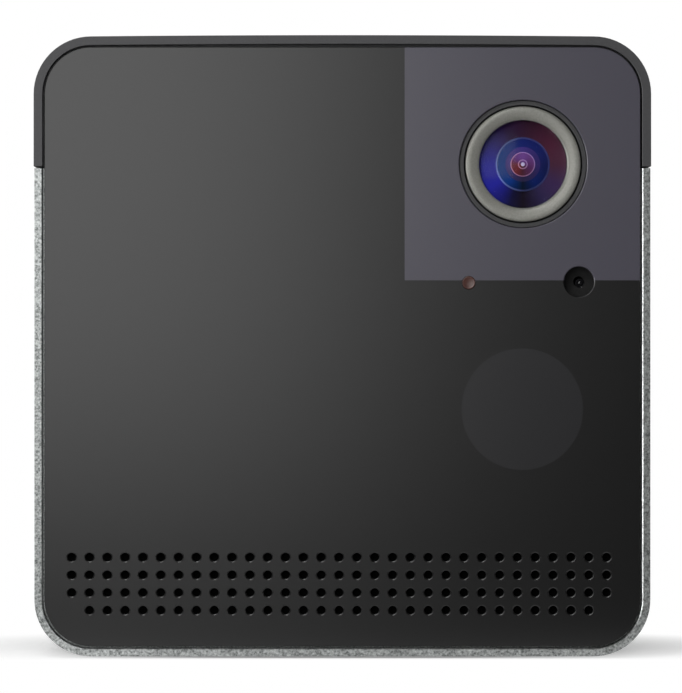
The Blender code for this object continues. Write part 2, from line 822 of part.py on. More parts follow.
def make_laser():
    x, z = laser_at
    base_low = z - yoke_drop
    hub_low = base_low - hub_height
    motor_top = hub_low - fit_gap
    motor_low = motor_top - pan_motor_height
    shelf_top = motor_low - fit_gap
    shelf_low = shelf_top - bracket_thickness
    sides = (x - bracket_half_width, x + bracket_half_width)
    back = behind_chassis + bracket_thickness
    bracket = box("laser_bracket", sides, (behind_chassis, back), (shelf_low, motor_top), "grey_pom")
    join(bracket, box("bracket_shelf", sides,
                      (behind_chassis + bracket_thickness / 2, behind_chassis + bracket_depth),
                      (shelf_low, shelf_top)))
    cut(bracket, discs_y("bracket_holes", screw_radius + fit_gap,
                         (behind_chassis - overrun, back + overrun),
                         bracket_screw_places(), None, 12))
    for number, place in enumerate(bracket_screw_places(), 1):
        fixing = screw_y(f"bracket_screw_{number}", back + fit_gap, -1, place)
        shorten = chassis_front + fit_gap
        cut(fixing, box(f"screw_tip_{number}",
                        (place[0] - screw_head_radius, place[0] + screw_head_radius),
                        (shorten - screw_length, shorten),
                        (place[1] - screw_head_radius, place[1] + screw_head_radius)))
    shaft_top = base_low - fit_gap
    profile = [(0, shaft_top), (shaft_radius, shaft_top), (shaft_radius, motor_top),
               (pan_motor_radius, motor_top), (pan_motor_radius, motor_low), (0, motor_low)]
    turned("pan_motor", profile, (x, joint_y, 0), "steel", "Z", False, 24)
    make_yoke(x, z, base_low, hub_low)


def make_yoke(x, z, base_low, hub_low):
    inner = cradle_radius + yoke_gap
    outer = inner + yoke_arm
    front, back = joint_y - yoke_width / 2, joint_y + yoke_width / 2
    base_top = base_low + yoke_arm
    yoke = box("pan_yoke", (x - outer, x + outer), (front, back), (base_low, z + yoke_top), "grey_pom")
    cut(yoke, box("yoke_opening", (x - inner, x + inner), (front - overrun, back + overrun),
                  (base_top, z + yoke_top + overrun)),
        across("trunnion_holes", trunnion_radius + fit_gap,
               (-outer - overrun, outer + overrun)))
    join(yoke, upright("yoke_hub", hub_radius, (hub_low, base_low + yoke_arm / 2), None, 20))
    cut(yoke, upright("shaft_bore", shaft_radius + fit_gap, (hub_low - overrun, base_low),
                      None, 16))
    start = outer + fit_gap
    tilt_motor = across("tilt_motor", tilt_motor_radius, (start, start + tilt_motor_length),
                        "steel", 20)
    turn_about_z = add("laser_pan_axis", None, None)
    turn_about_z.location = (x, joint_y, z)
    ride(turn_about_z, yoke, tilt_motor)
    half = cradle_length / 2
    cradle = ring_y("laser_cradle", module_radius + fit_gap, cradle_radius,
                    (joint_y - half, joint_y + half), laser_at, "black_abs")
    join(cradle, across("trunnion_left", trunnion_radius, (-outer, fit_gap - cradle_radius)),
         across("trunnion_right", trunnion_radius, (cradle_radius - fit_gap, outer)))
    nose, tail = joint_y - module_length / 2, joint_y + module_length / 2
    module = disc_y("laser_module", module_radius, (nose, tail), laser_at, "brass", 20)
    seat = nose + 2 * beam_lens_thickness
    cut(module, disc_y("module_bore", module_bore_radius, (nose - overrun, seat), laser_at, None, 20))
    lens = disc_y("laser_lens", beam_lens_radius,
                  (seat - fit_gap - beam_lens_thickness, seat - fit_gap), laser_at, "glass", 20)
    turn_about_x = add("laser_tilt_axis", None, None)
    turn_about_x.location = (x, joint_y, z)
    turn_about_x.parent = turn_about_z
    turn_about_x.matrix_parent_inverse = Matrix.Translation((-x, -joint_y, -z))
    ride(turn_about_x, cradle, module, lens)


# Electronics and the rear cover
def board_screw_places():
    x = board_half_width - board_boss_in_x
    return [(side * x, z) for side in (-1, 1)
            for z in (board_low + board_boss_in_z, board_high - board_boss_in_z)]


def make_main_board():
    outline = rectangle((-board_half_width, board_low), (board_half_width, board_high))
    holes = [circle(place, screw_radius + fit_gap, 12) for place in board_screw_places()]
    plate("main_board", [outline, *holes], (board_front, board_back), "green_board")
    for number, place in enumerate(board_screw_places(), 1):
        screw_y(f"board_screw_{number}", on_board, 1, place)
    x, z, half = chip_x, chip_z, chip_size / 2
    chip_front = on_board - chip_thickness
    box("main_chip", (x - half, x + half), (chip_front, on_board), (z - half, z + half), "chip_black")
    make_heat_sink(x, z, chip_front - fit_gap)
    z = wifi_z
    box("wifi_module", (x - wifi_width / 2, x + wifi_width / 2),
        (on_board - wifi_thickness, on_board), (z - wifi_height / 2, z + wifi_height / 2), "steel")


def make_heat_sink(x, z, back):
    """A comb outline seen from above, extruded upwards."""
    left = x - sink_size / 2
    pitch = sink_size / (2 * sink_fins - 1)
    tip, root = back - sink_depth, back - sink_base
    outline = [(left, back), (left, tip)]
    for fin in range(sink_fins):
        start = left + 2 * fin * pitch
        if fin:
            outline += [(start, root), (start, tip)]
        outline.append((start + pitch, tip))
        if fin < sink_fins - 1:
            outline.append((start + pitch, root))
    outline.append((left + sink_size, back))
    plate("heat_sink", [outline], (z - sink_size / 2, z + sink_size / 2), "blasted_aluminium", "Z")


def make_sockets():
    z = floor_z + usb_z
    start, end = board_back + fit_gap, cover_back - usb_setback
    width, height = usb_width / 2, usb_height / 2
    socket = box("usb_socket", (-width, width), (start, end), (z - height, z + height), "steel")
    cut(socket, box("usb_mouth", (usb_wall - width, width - usb_wall),
                    (start + board_thickness, end + overrun),
                    (z + usb_wall - height, z + height - usb_wall)))
    half = switch_size / 2
    top = start + switch_height
    box("reset_switch", (button_x - half, button_x + half), (start, top), (z - half, z + half),
        "chip_black")
    tip = top + button_travel + button_slack
    lip_front = cover_front - fit_gap - button_lip_thickness
    lip = button_radius + button_lip
    profile = [(0, tip), (button_radius, tip), (button_radius, lip_front), (lip, lip_front),
               (lip, cover_front - fit_gap), (button_radius, cover_front - fit_gap),
               (button_radius, cover_back), (0, cover_back)]
    turned_y("reset_button", profile, (button_x, z), "grey_pom", False, 16)


def make_rear_cover():
    z = floor_z + usb_z
    width, height = usb_width / 2 + fit_gap, usb_height / 2 + fit_gap
    bore = screw_radius + fit_gap
    outlines = [around_body(rim + panel_gap), rectangle((-width, z - height), (width, z + height)),
                circle((button_x, z), button_radius + fit_gap, 16)]
    outlines += [circle(place, bore, 12) for place in post_places]
    cover = plate("rear_cover", outlines, (cover_front, cover_back), "black_abs")
    sunk = cover_front + cover_thickness / 3
    cut(cover, discs_y("head_pockets", screw_head_radius + fit_gap, (sunk, cover_back + overrun),
                       post_places),
        box("usb_relief", (-relief_width / 2, relief_width / 2),
            (cover_back - relief_depth, cover_back + overrun),
            (z - relief_height / 2, z + relief_height / 2)))
    join(cover, discs_y("board_bosses", boss_radius,
                        (board_back + fit_gap, cover_front + cover_thickness / 2),
                        board_screw_places()))
    cut(cover, discs_y("board_bores", bore, (board_back, board_back + screw_length),
                       board_screw_places(), None, 12))
    for number, place in enumerate(post_places, 1):
        screw_y(f"rear_screw_{number}", sunk + fit_gap, -1, place)


def make_antenna_and_cables():
    roof = top_z - wall - fit_gap
    x = chip_x
    box("wifi_antenna", (x - antenna_width / 2, x + antenna_width / 2),
        (antenna_y - antenna_depth / 2, antenna_y + antenna_depth / 2),
        (roof - antenna_thickness, roof), "amber_film")
    make_antenna_cable(x, roof - antenna_thickness - fit_gap)
    x, z = lens_at
    z -= ribbon_drop
    start = camera_board_front() + camera_board_thickness + fit_gap
    steps = 12
    middle = []
    for i in range(steps + 1):
        share = i / steps
        y = start + (on_board - start) * share
        middle.append((y, z - ribbon_sag * math.sin(math.pi * share)))
    upper = [(y, height + ribbon_thickness / 2) for y, height in middle]
    lower = [(y, height - ribbon_thickness / 2) for y, height in middle]
    plate("camera_ribbon", [upper + lower[::-1]],
          (x - ribbon_width / 2, x + ribbon_width / 2), "amber_film", "X")


def make_antenna_cable(x, high):
    """A thin lead from the front of the radio module up to the antenna."""
    z = wifi_z
    start = on_board - wifi_thickness - fit_gap
    bend = 4
    corner = (start - cable_reach, z)
    points = [(start, z), (start - cable_reach / 2, z)]
    points += arc((corner[0] + cable_reach / 4, corner[1] + cable_reach / 4), cable_reach / 4,
                  270, 180, bend)
    end_y = antenna_y
    rise = [(corner[0], z + cable_reach / 2), (end_y, high - cable_reach / 3), (end_y, high)]
    curve = bpy.data.curves.new("antenna_cable", "CURVE")
    curve.dimensions = "3D"
    curve.bevel_depth = cable_radius
    curve.bevel_resolution = 2
    curve.use_fill_caps = True
    spline = curve.splines.new("POLY")
    route = points + rise
    spline.points.add(len(route) - 1)
    for point, (y, height) in zip(spline.points, route):
        point.co = (x, y, height, 1)
    add("antenna_cable", curve, "chip_black")


clear_scene()
parts = make_collection("pet_camera")
cutters = make_collection("cutters")
make_body()
make_cap()
make_foot()
make_panel()
make_chassis()
make_lens()
make_holder()
make_night_lights()
make_light_and_sensor()
make_speaker()
make_laser()
make_main_board()
make_sockets()
make_rear_cover()
make_antenna_and_cables()
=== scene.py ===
"""Pet camera: a small aluminium cube with a black cap, a black front and a play laser."""
import json
import math

import bmesh
import bpy
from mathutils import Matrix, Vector
from mathutils.geometry import tessellate_polygon


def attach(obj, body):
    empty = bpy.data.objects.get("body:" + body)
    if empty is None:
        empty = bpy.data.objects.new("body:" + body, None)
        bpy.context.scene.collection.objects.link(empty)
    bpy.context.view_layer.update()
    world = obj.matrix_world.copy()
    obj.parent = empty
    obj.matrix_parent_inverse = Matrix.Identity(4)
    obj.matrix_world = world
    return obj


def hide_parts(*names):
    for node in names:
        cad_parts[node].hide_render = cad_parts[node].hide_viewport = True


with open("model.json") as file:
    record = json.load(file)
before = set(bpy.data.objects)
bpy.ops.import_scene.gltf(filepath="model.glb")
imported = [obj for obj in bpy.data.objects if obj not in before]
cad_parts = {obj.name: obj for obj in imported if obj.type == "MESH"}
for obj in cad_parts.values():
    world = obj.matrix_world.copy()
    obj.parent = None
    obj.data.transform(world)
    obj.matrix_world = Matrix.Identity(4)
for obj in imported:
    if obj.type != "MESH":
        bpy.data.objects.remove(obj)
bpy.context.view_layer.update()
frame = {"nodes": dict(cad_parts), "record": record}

MM = 0.001
CORNER_STEPS = 16
SMALL_CORNER_STEPS = 6
ROUND_STEPS = 96
EDGE_STEPS = 3
CROWN_STEPS = 8
CELL_STEPS = 16

# A Mix node's inputs and output by number, because its names come more than once
NUMBER_A, NUMBER_B = 2, 3
COLOUR_A, COLOUR_B = 6, 7
COLOUR_OUT = 2

# Sizes in millimetres, the same as in the part's source
half_width = 38.0
floor_z, top_z = 0.2, 76.6
front_y, back_y = -38.1, 38.1
corner_radius = 7.0
cap_height = 16.15
cap_proud = 0.1
cap_crown = 0.15
seam_gap = 0.2
fit_gap = 0.3
rim = 1.0
wall = 2.0
panel_gap = 0.25
panel_recess, panel_thickness = 0.2, 1.2
cover_recess, cover_thickness = 0.2, 2.0
lens_at = (22.3, 60.95)
lens_hole_radius = 7.9
laser_at = (22.2, 30.7)
disc_radius = 7.5
port_at = (29.2, 46.45)
light_at = (15.6, 46.3)
hole_pitch_x, hole_pitch_z = 2.2, 2.18
hole_columns, hole_rows = 31, 4
grille_x, grille_z = -0.4, 5.9
screw_places = [(x, z) for x in (-33.0, 33.0) for z in (5.2, 71.6)]
socket_at = (0.0, 12.2)
key_at = (14.0, 12.2)
key_hole_radius = 1.8
foot_half, foot_radius, foot_thickness = 28.0, 6.0, 0.5
insert_radius = 4.8
foot_hole_radius = insert_radius + 2 * fit_gap

# Places that follow from them
arc_x = half_width - corner_radius
arc_low_z = floor_z + corner_radius
arc_high_z = top_z - corner_radius
split_z = top_z - cap_height
panel_front = front_y + panel_recess
panel_back = panel_front + panel_thickness
cover_back = back_y - cover_recess
cover_front = cover_back - cover_thickness

# Where the print behind the panel begins to let light by
window_left, window_low = 7.69, 46.6

# Small forms that are finer here than in the part's solids
port_radius = 1.86
light_hole_radius = 0.83
hole_radius = 0.51
lip_radius = 0.67
lip_step = 0.12

# Edges that the eye reads at the camera's distance
rim_chamfer = 0.13
edge_round = 0.06
panel_edge = 0.05
hole_edge = 0.12
cover_edge = 0.25


# Outlines in a flat plane
def arc(centre, radius, start, end, steps=CORNER_STEPS):
    """Points along an arc, whose angles are in degrees."""
    turns = [math.radians(start + (end - start) * i / steps) for i in range(steps + 1)]
    return [(centre[0] + radius * math.cos(t), centre[1] + radius * math.sin(t)) for t in turns]


def circle(centre, radius, steps=ROUND_STEPS):
    return arc(centre, radius, 0, 360, steps)[:-1]


def rounded(low, high, radius, steps=CORNER_STEPS):
    """A rectangle with rounded corners, from its low corner to its high one."""
    return (arc((high[0] - radius, high[1] - radius), radius, 0, 90, steps)
            + arc((low[0] + radius, high[1] - radius), radius, 90, 180, steps)
            + arc((low[0] + radius, low[1] + radius), radius, 180, 270, steps)
            + arc((high[0] - radius, low[1] + radius), radius, 270, 360, steps))


def rounded_at(at, half, radius, inset=0, steps=SMALL_CORNER_STEPS):
    """A rounded rectangle about a point, of the given half sizes less the inset."""
    half_u, half_v = half[0] - inset, half[1] - inset
    return rounded((at[0] - half_u, at[1] - half_v), (at[0] + half_u, at[1] + half_v), radius,
                   steps)


def front_outline(inset):
    """The outline of the body, drawn in by the inset."""
    return rounded((inset - half_width, floor_z + inset),
                   (half_width - inset, top_z - inset), corner_radius - inset)


# Meshes
def upright(u, v, depth):
    """A place on an outline that stands facing the front."""
    return (u, depth, v)


def lying(u, v, depth):
    """A place on an outline that lies flat."""
    return (u, v, depth)


def shaded(mesh, sharp):
    """Shades a mesh smooth, but for the edges that turn by more than the angle."""
    mesh.polygons.foreach_set("use_smooth", [True] * len(mesh.polygons))
    mesh.set_sharp_from_angle(angle=math.radians(sharp))


def finished(name, bm, materials=(), sharp=32):
    """Makes a closed, smooth-shaded piece of a mesh drawn in millimetres."""
    bmesh.ops.remove_doubles(bm, verts=bm.verts, dist=0.0005)
    bmesh.ops.recalc_face_normals(bm, faces=bm.faces)
    bmesh.ops.scale(bm, vec=(MM, MM, MM), verts=bm.verts)
    mesh = bpy.data.meshes.new(name)
    bm.to_mesh(mesh)
    bm.free()
    shaded(mesh, sharp)
    for material in materials:
        mesh.materials.append(material)
    piece = bpy.data.objects.new(name, mesh)
    bpy.context.scene.collection.objects.link(piece)
    return piece


def ring(bm, loop, depth, lay=upright):
    """Sets an outline's vertices at one depth."""
    return [bm.verts.new(lay(u, v, depth)) for u, v in loop]


def strip(bm, one, two):
    """Joins two rings with a band of faces."""
    for i in range(len(one)):
        bm.faces.new((one[i - 1], one[i], two[i], two[i - 1]))


def fill(bm, rings, loops):
    """Fills the first ring, leaving the others open as holes."""
    corners = [vert for vertices in rings for vert in vertices]
    flat = [[Vector((u, v, 0)) for u, v in loop] for loop in loops]
    for triangle in tessellate_polygon(flat):
        bm.faces.new([corners[i] for i in triangle])


def prism(bm, loop, low, high, lay=upright):
    """A closed block of one outline between two depths."""
    ends = [ring(bm, loop, depth, lay) for depth in (low, high)]
    strip(bm, *ends)
    for end in ends:
        fill(bm, [end], [loop])


def edge_rings(bm, outline, side, radius, face, inward, lay):
    """The rings that round a plate's edge from its face to its wall, and their outlines."""
    rings, loops = [], []
    for i in range(EDGE_STEPS + 1):
        turn = math.pi / 2 * i / EDGE_STEPS
        loops.append(outline(side * radius * (1 - math.sin(turn))))
        rings.append(ring(bm, loops[-1], face + inward * radius * (1 - math.cos(turn)), lay))
    for one, two in zip(rings, rings[1:]):
        strip(bm, one, two)
    return rings, loops


def slab(bm, face, back, outer, holes=(), openings=(), pockets=(), edge=panel_edge,
         hole_round=hole_edge, lay=upright):
    """A plate with rounded edges. Each outline is a function of how far it is drawn in.
    Openings are left without a wall, and pockets are (outline, floor, holes in the floor)."""
    inward = 1 if back > face else -1
    face_rings, face_loops, back_rings, back_loops = [], [], [], []
    edges = [(outer, 1, edge)] + [(hole, -1, hole_round) for hole in holes]
    for outline, side, radius in edges:
        rings, loops = edge_rings(bm, outline, side, radius, face, inward, lay)
        at_back = ring(bm, loops[-1], back, lay)
        strip(bm, rings[-1], at_back)
        face_rings.append(rings[0])
        face_loops.append(loops[0])
        back_rings.append(at_back)
        back_loops.append(loops[-1])
    for loop in openings:
        face_rings.append(ring(bm, loop, face, lay))
        back_rings.append(ring(bm, loop, back, lay))
        face_loops.append(loop)
        back_loops.append(loop)
    for outline, floor, inner_holes in pockets:
        rings, loops = edge_rings(bm, outline, -1, hole_round, face, inward, lay)
        at_floor = ring(bm, loops[-1], floor, lay)
        strip(bm, rings[-1], at_floor)
        face_rings.append(rings[0])
        face_loops.append(loops[0])
        floor_rings, floor_loops = [at_floor], [loops[-1]]
        for hole in inner_holes:
            loop = hole(0)
            at_floor, at_back = ring(bm, loop, floor, lay), ring(bm, loop, back, lay)
            strip(bm, at_floor, at_back)
            floor_rings.append(at_floor)
            floor_loops.append(loop)
            back_rings.append(at_back)
            back_loops.append(loop)
        fill(bm, floor_rings, floor_loops)
    fill(bm, face_rings, face_loops)
    fill(bm, back_rings, back_loops)


def turned(name, profile, at, materials=(), zones=None, steps=ROUND_STEPS, closed=True,
           sharp=32, lay=upright):
    """Turns a profile of (radius, depth) about an axis from front to back, or an upright one.
    Zones give each band of the profile the number of its material."""
    bm = bmesh.new()
    spins = [math.tau * i / steps for i in range(steps)]
    rows = []
    for radius, depth in profile:
        if radius == 0:
            rows.append([bm.verts.new(lay(*at, depth))] * steps)
        else:
            rows.append([bm.verts.new(lay(at[0] + radius * math.cos(t),
                                          at[1] + radius * math.sin(t), depth)) for t in spins])
    bands = len(profile) if closed else len(profile) - 1
    for i in range(bands):
        one, two = rows[i], rows[(i + 1) % len(rows)]
        for k in range(steps):
            corners = list(dict.fromkeys((one[k - 1], one[k], two[k], two[k - 1])))
            if len(corners) > 2:
                bm.faces.new(corners).material_index = zones[i] if zones else 0
    return finished(name, bm, materials, sharp)


def swept(bm, section, path):
    """Carries a section of (inset, depth) along a path of points with outward normals."""
    rows = []
    for (x, z), (nx, nz) in path:
        rows.append([bm.verts.new((x - nx * inset, depth, z - nz * inset))
                     for inset, depth in section])
    for one, two in zip(rows, rows[1:]):
        strip(bm, one, two)
    bm.faces.new(rows[0])
    bm.faces.new(rows[-1])


def path_arc(centre, radius, start, end):
    """An arc as a path of points with outward normals."""
    turns = [math.radians(start + (end - start) * i / CORNER_STEPS)
             for i in range(CORNER_STEPS + 1)]
    return [((centre[0] + radius * math.cos(t), centre[1] + radius * math.sin(t)),
             (math.cos(t), math.sin(t))) for t in turns]


def frame_section(extra):
    """The wall in section: a thin rim at both ends, where the front and the back sit."""
    inner, thin = wall + extra, rim + extra
    cut = rim_chamfer if extra == 0 else rim_chamfer / 2
    seat, rear_seat = panel_back + fit_gap, cover_front - fit_gap
    return [(0, front_y), (thin - cut, front_y), (thin, front_y + cut), (thin, seat),
            (inner, seat), (inner, rear_seat), (thin, rear_seat), (thin, back_y - cut),
            (thin - cut, back_y), (0, back_y)]


def settled(piece):
    """Applies a piece's modifiers and leaves a plain mesh."""
    graph = bpy.context.evaluated_depsgraph_get()
    mesh = bpy.data.meshes.new_from_object(piece.evaluated_get(graph))
    piece.modifiers.clear()
    piece.data = mesh
    return piece


def faced(piece, sharp):
    """Turns a closed mesh's faces outwards and marks its sharp edges again."""
    bm = bmesh.new()
    bm.from_mesh(piece.data)
    bmesh.ops.recalc_face_normals(bm, faces=bm.faces)
    bm.to_mesh(piece.data)
    bm.free()
    shaded(piece.data, sharp)
    return piece


def flattened(piece):
    """Keeps the large faces flat beside their small rounded edges."""
    normals = piece.modifiers.new("flat faces", "WEIGHTED_NORMAL")
    normals.keep_sharp = True
    return settled(piece)


def eased(piece, width):
    """Rounds a piece's edges where it turns by more than 50 degrees."""
    bevel = piece.modifiers.new("eased edges", "BEVEL")
    bevel.width = width * MM
    bevel.segments = 2
    bevel.limit_method = "ANGLE"
    bevel.angle_limit = math.radians(50)
    bevel.harden_normals = True
    return settled(piece)


def placed(piece, replaced=(), body="root"):
    """Hangs a piece on the body that carries it, and hides the nodes that it stands for."""
    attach(piece, body)
    if replaced:
        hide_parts(*replaced)


# Materials and node trees
def linear(text):
    """A colour written as sRGB hex, in linear light."""
    parts = [int(text[i:i + 2], 16) / 255 for i in (0, 2, 4)]
    return tuple(c / 12.92 if c <= 0.04045 else ((c + 0.055) / 1.055) ** 2.4
                 for c in parts) + (1.0,)


def add(tree, kind, inputs=None, **settings):
    """Adds a node, sets its properties, and sets or links its inputs by name or number."""
    made = tree.nodes.new(kind)
    for name, value in settings.items():
        setattr(made, name, value)
    for key, value in (inputs or {}).items():
        if isinstance(value, bpy.types.Node):
            tree.links.new(value.outputs[0], made.inputs[key])
        elif isinstance(value, bpy.types.NodeSocket):
            tree.links.new(value, made.inputs[key])
        else:
            made.inputs[key].default_value = value
    return made


def surface(name, **values):
    """A material with one Principled surface, whose plain values are set on its own sockets."""
    material = bpy.data.materials.new(name)
    material.use_nodes = True
    tree = material.node_tree
    shader = tree.nodes["Principled BSDF"]
    for key, value in values.items():
        shader.inputs[key.replace("_", " ")].default_value = value
    return material, tree, shader


def grain(tree, shader, spacing, depth, detail=2.0, spread=None):
    """A fine raised texture of the given spacing and depth in millimetres."""
    place = add(tree, "ShaderNodeTexCoord").outputs["Object"]
    noise = add(tree, "ShaderNodeTexNoise", {"Vector": place, "Scale": 1 / (spacing * MM),
                                             "Detail": detail, "Roughness": 0.6})
    bump = add(tree, "ShaderNodeBump", {"Height": noise, "Distance": depth * MM,
                                        "Strength": 1.0})
    tree.links.new(bump.outputs[0], shader.inputs["Normal"])
    if spread:
        rough = add(tree, "ShaderNodeMapRange", {"Value": noise, "To Min": spread[0],
                                                 "To Max": spread[1]})
        tree.links.new(rough.outputs[0], shader.inputs["Roughness"])
    return noise


def finish(name, dark, light, spacing, depth, spread=None, low=0.35, high=0.65, **values):
    """A material that runs between two tones over a raised grain, sized in millimetres."""
    material, tree, shader = surface(name, **values)
    noise = grain(tree, shader, spacing, depth, spread=spread)
    step = add(tree, "ShaderNodeMapRange", {"Value": noise, "From Min": low, "From Max": high})
    mix = add(tree, "ShaderNodeMix", {"Factor": step, COLOUR_A: linear(dark),
                                      COLOUR_B: linear(light)}, data_type="RGBA")
    tree.links.new(mix.outputs[COLOUR_OUT], shader.inputs["Base Color"])
    return material


# Aluminium, bead-blasted and clear anodised: pale grey, and sparkling where pits catch light.
# The real pits are about 0.1 mm wide, and are drawn wider so that they show.
aluminium = finish("bead-blasted anodised aluminium", "5c5f5e", "c4c7c6", 0.26, 0.02,
                   spread=(0.36, 0.5), low=0.3, high=0.7, Metallic=1.0, Roughness=0.45)

# ABS from a spark-eroded mould: near black, with a slight bloom instead of a clear shine.
# The real texture is about 0.1 mm wide, and is drawn wider so that it shows.
abs_plastic = finish("moulded black ABS", "363638", "3c3c3e", 0.3, 0.006, spread=(0.46, 0.6),
                     Roughness=0.5, IOR=1.5)

# Aluminium turned and anodised satin: a soft warm grey ring without a hard glint
grey_metal = finish("satin grey anodised barrel", "7d7d77", "878781", 0.2, 0.003,
                    Metallic=0.3, Roughness=0.42)

# Moulded silicone rubber: matt, so that the sensor's well and the foot swallow the light
rubber = finish("matt black silicone rubber", "161616", "1c1c1c", 0.25, 0.01,
                Roughness=0.85, IOR=1.4)

# Turned brass: a warm yellow metal, slightly uneven from the tool
brass = finish("turned brass", "c9a35c", "d8b46c", 0.3, 0.003, Metallic=1.0, Roughness=0.3)

# Nickel-plated steel: a clean pale metal, slightly uneven in its plating
steel = finish("nickel-plated steel", "b9bbbb", "c9cbcb", 0.3, 0.003, Metallic=1.0,
               Roughness=0.32)

# Steel mesh painted black: dull, with only a trace of metal. Its black is a painted shade, so that
# what shows through the speaker holes stays dark
shade_black_mesh = finish("steel mesh painted black for shade", "101010", "1a1a1a", 0.3, 0.02, Metallic=0.6,
                     Roughness=0.6)

# Acoustic fleece, matt and near black: a dark sheet that stands in for the shade behind the
# speaker holes, so that they stay black
fleece = finish("acoustic fleece painted black for shade", "040404", "070707", 0.15, 0.01, Roughness=1.0,
                IOR=1.2)

# Moulded polycarbonate, tinted: the unlit status light, dull red-brown with a soft shine
light_pipe = finish("red-brown polycarbonate light pipe", "42241e", "4a2a22", 0.4, 0.002,
                    Roughness=0.35, IOR=1.58)

# Smoked glass, polished: a black eye that shows one small glint
dark_glass = finish("smoked sensor glass", "101012", "161618", 0.4, 0.0005, Roughness=0.12,
                    IOR=1.5)

# Optical glass under an anti-reflex coating: clear, and its low IOR keeps it from glaring
glass = finish("coated optical glass", "eef2ff", "f4f6ff", 5.0, 0.0005, Roughness=0.02,
               IOR=1.12, Transmission_Weight=1.0)

# Polished leaf of the iris, painted near white: a painted highlight, the bright point in the
# lens's middle
iris_highlight = finish("iris leaf painted as a highlight", "f4e6f4", "fff4ff", 0.2, 0.001, Roughness=0.3, IOR=1.5)

# Moulded acetal: plain mid grey with a waxy shine
grey_pom = finish("moulded grey acetal", "8d8d8d", "979797", 0.3, 0.004, Roughness=0.45,
                  IOR=1.48)

# Glass-fibre board under a green solder mask: deep green with a soft shine
board = finish("green solder-masked board", "0f4a2c", "145636", 0.4, 0.004, Roughness=0.4)

# Moulded epoxy resin: the dull near black of chips
resin = finish("moulded black resin", "1c1c1e", "242426", 0.4, 0.004, Roughness=0.55)

# Pressed paper pulp: dry and dark, as speaker cones are
paper_pulp = finish("pressed paper pulp", "1d1c1b", "272624", 0.4, 0.004, Roughness=0.85)

# Polyimide film: amber, with the soft shine of thin film
amber_film = finish("amber polyimide film", "9a5a1c", "aa6824", 0.4, 0.004, Roughness=0.35)


# Satin black acrylic: near black, and a little lighter where the print behind it lets light by
def panel_material():
    """Acrylic sheet with a faint wave, a print that changes at the window and the disc, and a
    painted shade on the band above the window's lower edge.
    """
    material, tree, shader = surface("satin black acrylic", Roughness=0.29, IOR=1.5)
    noise = grain(tree, shader, spacing=1.6, depth=0.0008, detail=1.0)
    place = add(tree, "ShaderNodeTexCoord").outputs["Object"]
    spot = add(tree, "ShaderNodeSeparateXYZ", {0: place})
    above = add(tree, "ShaderNodeMath", {0: spot.outputs["Z"], 1: window_low * MM},
                operation="GREATER_THAN")
    beside = add(tree, "ShaderNodeMath", {0: spot.outputs["X"], 1: window_left * MM},
                 operation="GREATER_THAN")
    window = add(tree, "ShaderNodeMath", {0: above, 1: beside}, operation="MULTIPLY")
    middle = (laser_at[0] * MM, panel_front * MM, laser_at[1] * MM)
    reach = add(tree, "ShaderNodeVectorMath", {0: place, 1: middle}, operation="DISTANCE")
    disc = add(tree, "ShaderNodeMath", {0: reach.outputs["Value"], 1: disc_radius * MM},
               operation="LESS_THAN")
    tone = add(tree, "ShaderNodeMix", {"Factor": noise, COLOUR_A: linear("0c0c0c"),
                                       COLOUR_B: linear("0f0f0f")},
               data_type="RGBA").outputs[COLOUR_OUT]
    # Left of the window, the band above its lower edge is held at the darker end of the base tone:
    # a painted shade, not print
    for mask, colour in ((disc, "1d1d1f"), (above, "0c0c0c"), (window, "43414b")):
        tone = add(tree, "ShaderNodeMix", {"Factor": mask, COLOUR_A: tone,
                                           COLOUR_B: linear(colour)},
                   data_type="RGBA").outputs[COLOUR_OUT]
    tree.links.new(tone, shader.inputs["Base Color"])
    return material


black_acrylic = panel_material()


# Body and cap
def body_path():
    """From the left seam down, round under the body and up to the right seam."""
    left, right = -half_width, half_width
    return ([((left, split_z), (-1, 0))] + path_arc((-arc_x, arc_low_z), corner_radius, 180, 270)
            + path_arc((arc_x, arc_low_z), corner_radius, 270, 360) + [((right, split_z), (1, 0))])


def cap_path():
    """From the right seam up, over the slightly crowned top and down to the left seam."""
    side, radius = half_width + cap_proud, corner_radius + cap_proud
    low = split_z + seam_gap
    lean = 0.01
    crown = []
    for i in range(1, 2 * CROWN_STEPS):
        x = arc_x * (1 - i / CROWN_STEPS)
        crown.append(((x, top_z + cap_proud + cap_crown * (1 - (x / arc_x) ** 2)),
                      (lean * x / arc_x, 1)))
    return ([((side, low), (1, 0))] + path_arc((arc_x, arc_high_z), radius, 0, 90) + crown
            + path_arc((-arc_x, arc_high_z), radius, 90, 180) + [((-side, low), (-1, 0))])


def cut_away(piece, *cutters):
    """Cuts other pieces out of a piece, and removes them."""
    for cutter in cutters:
        boolean = piece.modifiers.new("cut", "BOOLEAN")
        boolean.operation = "DIFFERENCE"
        boolean.solver = "EXACT"
        boolean.object = cutter
    settled(piece)
    for cutter in cutters:
        bpy.data.objects.remove(cutter)


def floor_cutter(name, loop, high):
    """An upright cutter from below the body up to the given height."""
    below = -1
    bm = bmesh.new()
    prism(bm, loop, below, high, lying)
    return finished(name, bm)


def make_body():
    """The U of the body, open at its front and back, and the cap over it."""
    bm = bmesh.new()
    swept(bm, frame_section(0), body_path())
    body = finished("body", bm, [aluminium])
    recess = rounded_at((0, 0), (foot_half, foot_half), foot_radius + fit_gap, -fit_gap,
                        CORNER_STEPS)
    through = 5
    cut_away(body, floor_cutter("foot_recess", recess, foot_thickness + fit_gap),
             floor_cutter("insert_hole", circle((0, 0), insert_radius + fit_gap), through))
    placed(eased(body, edge_round), ["aluminium_body"])

    bm = bmesh.new()
    swept(bm, frame_section(cap_proud), cap_path())
    cap = finished("cap", bm, [abs_plastic])
    placed(eased(cap, edge_round), ["antenna_cap"])


make_body()


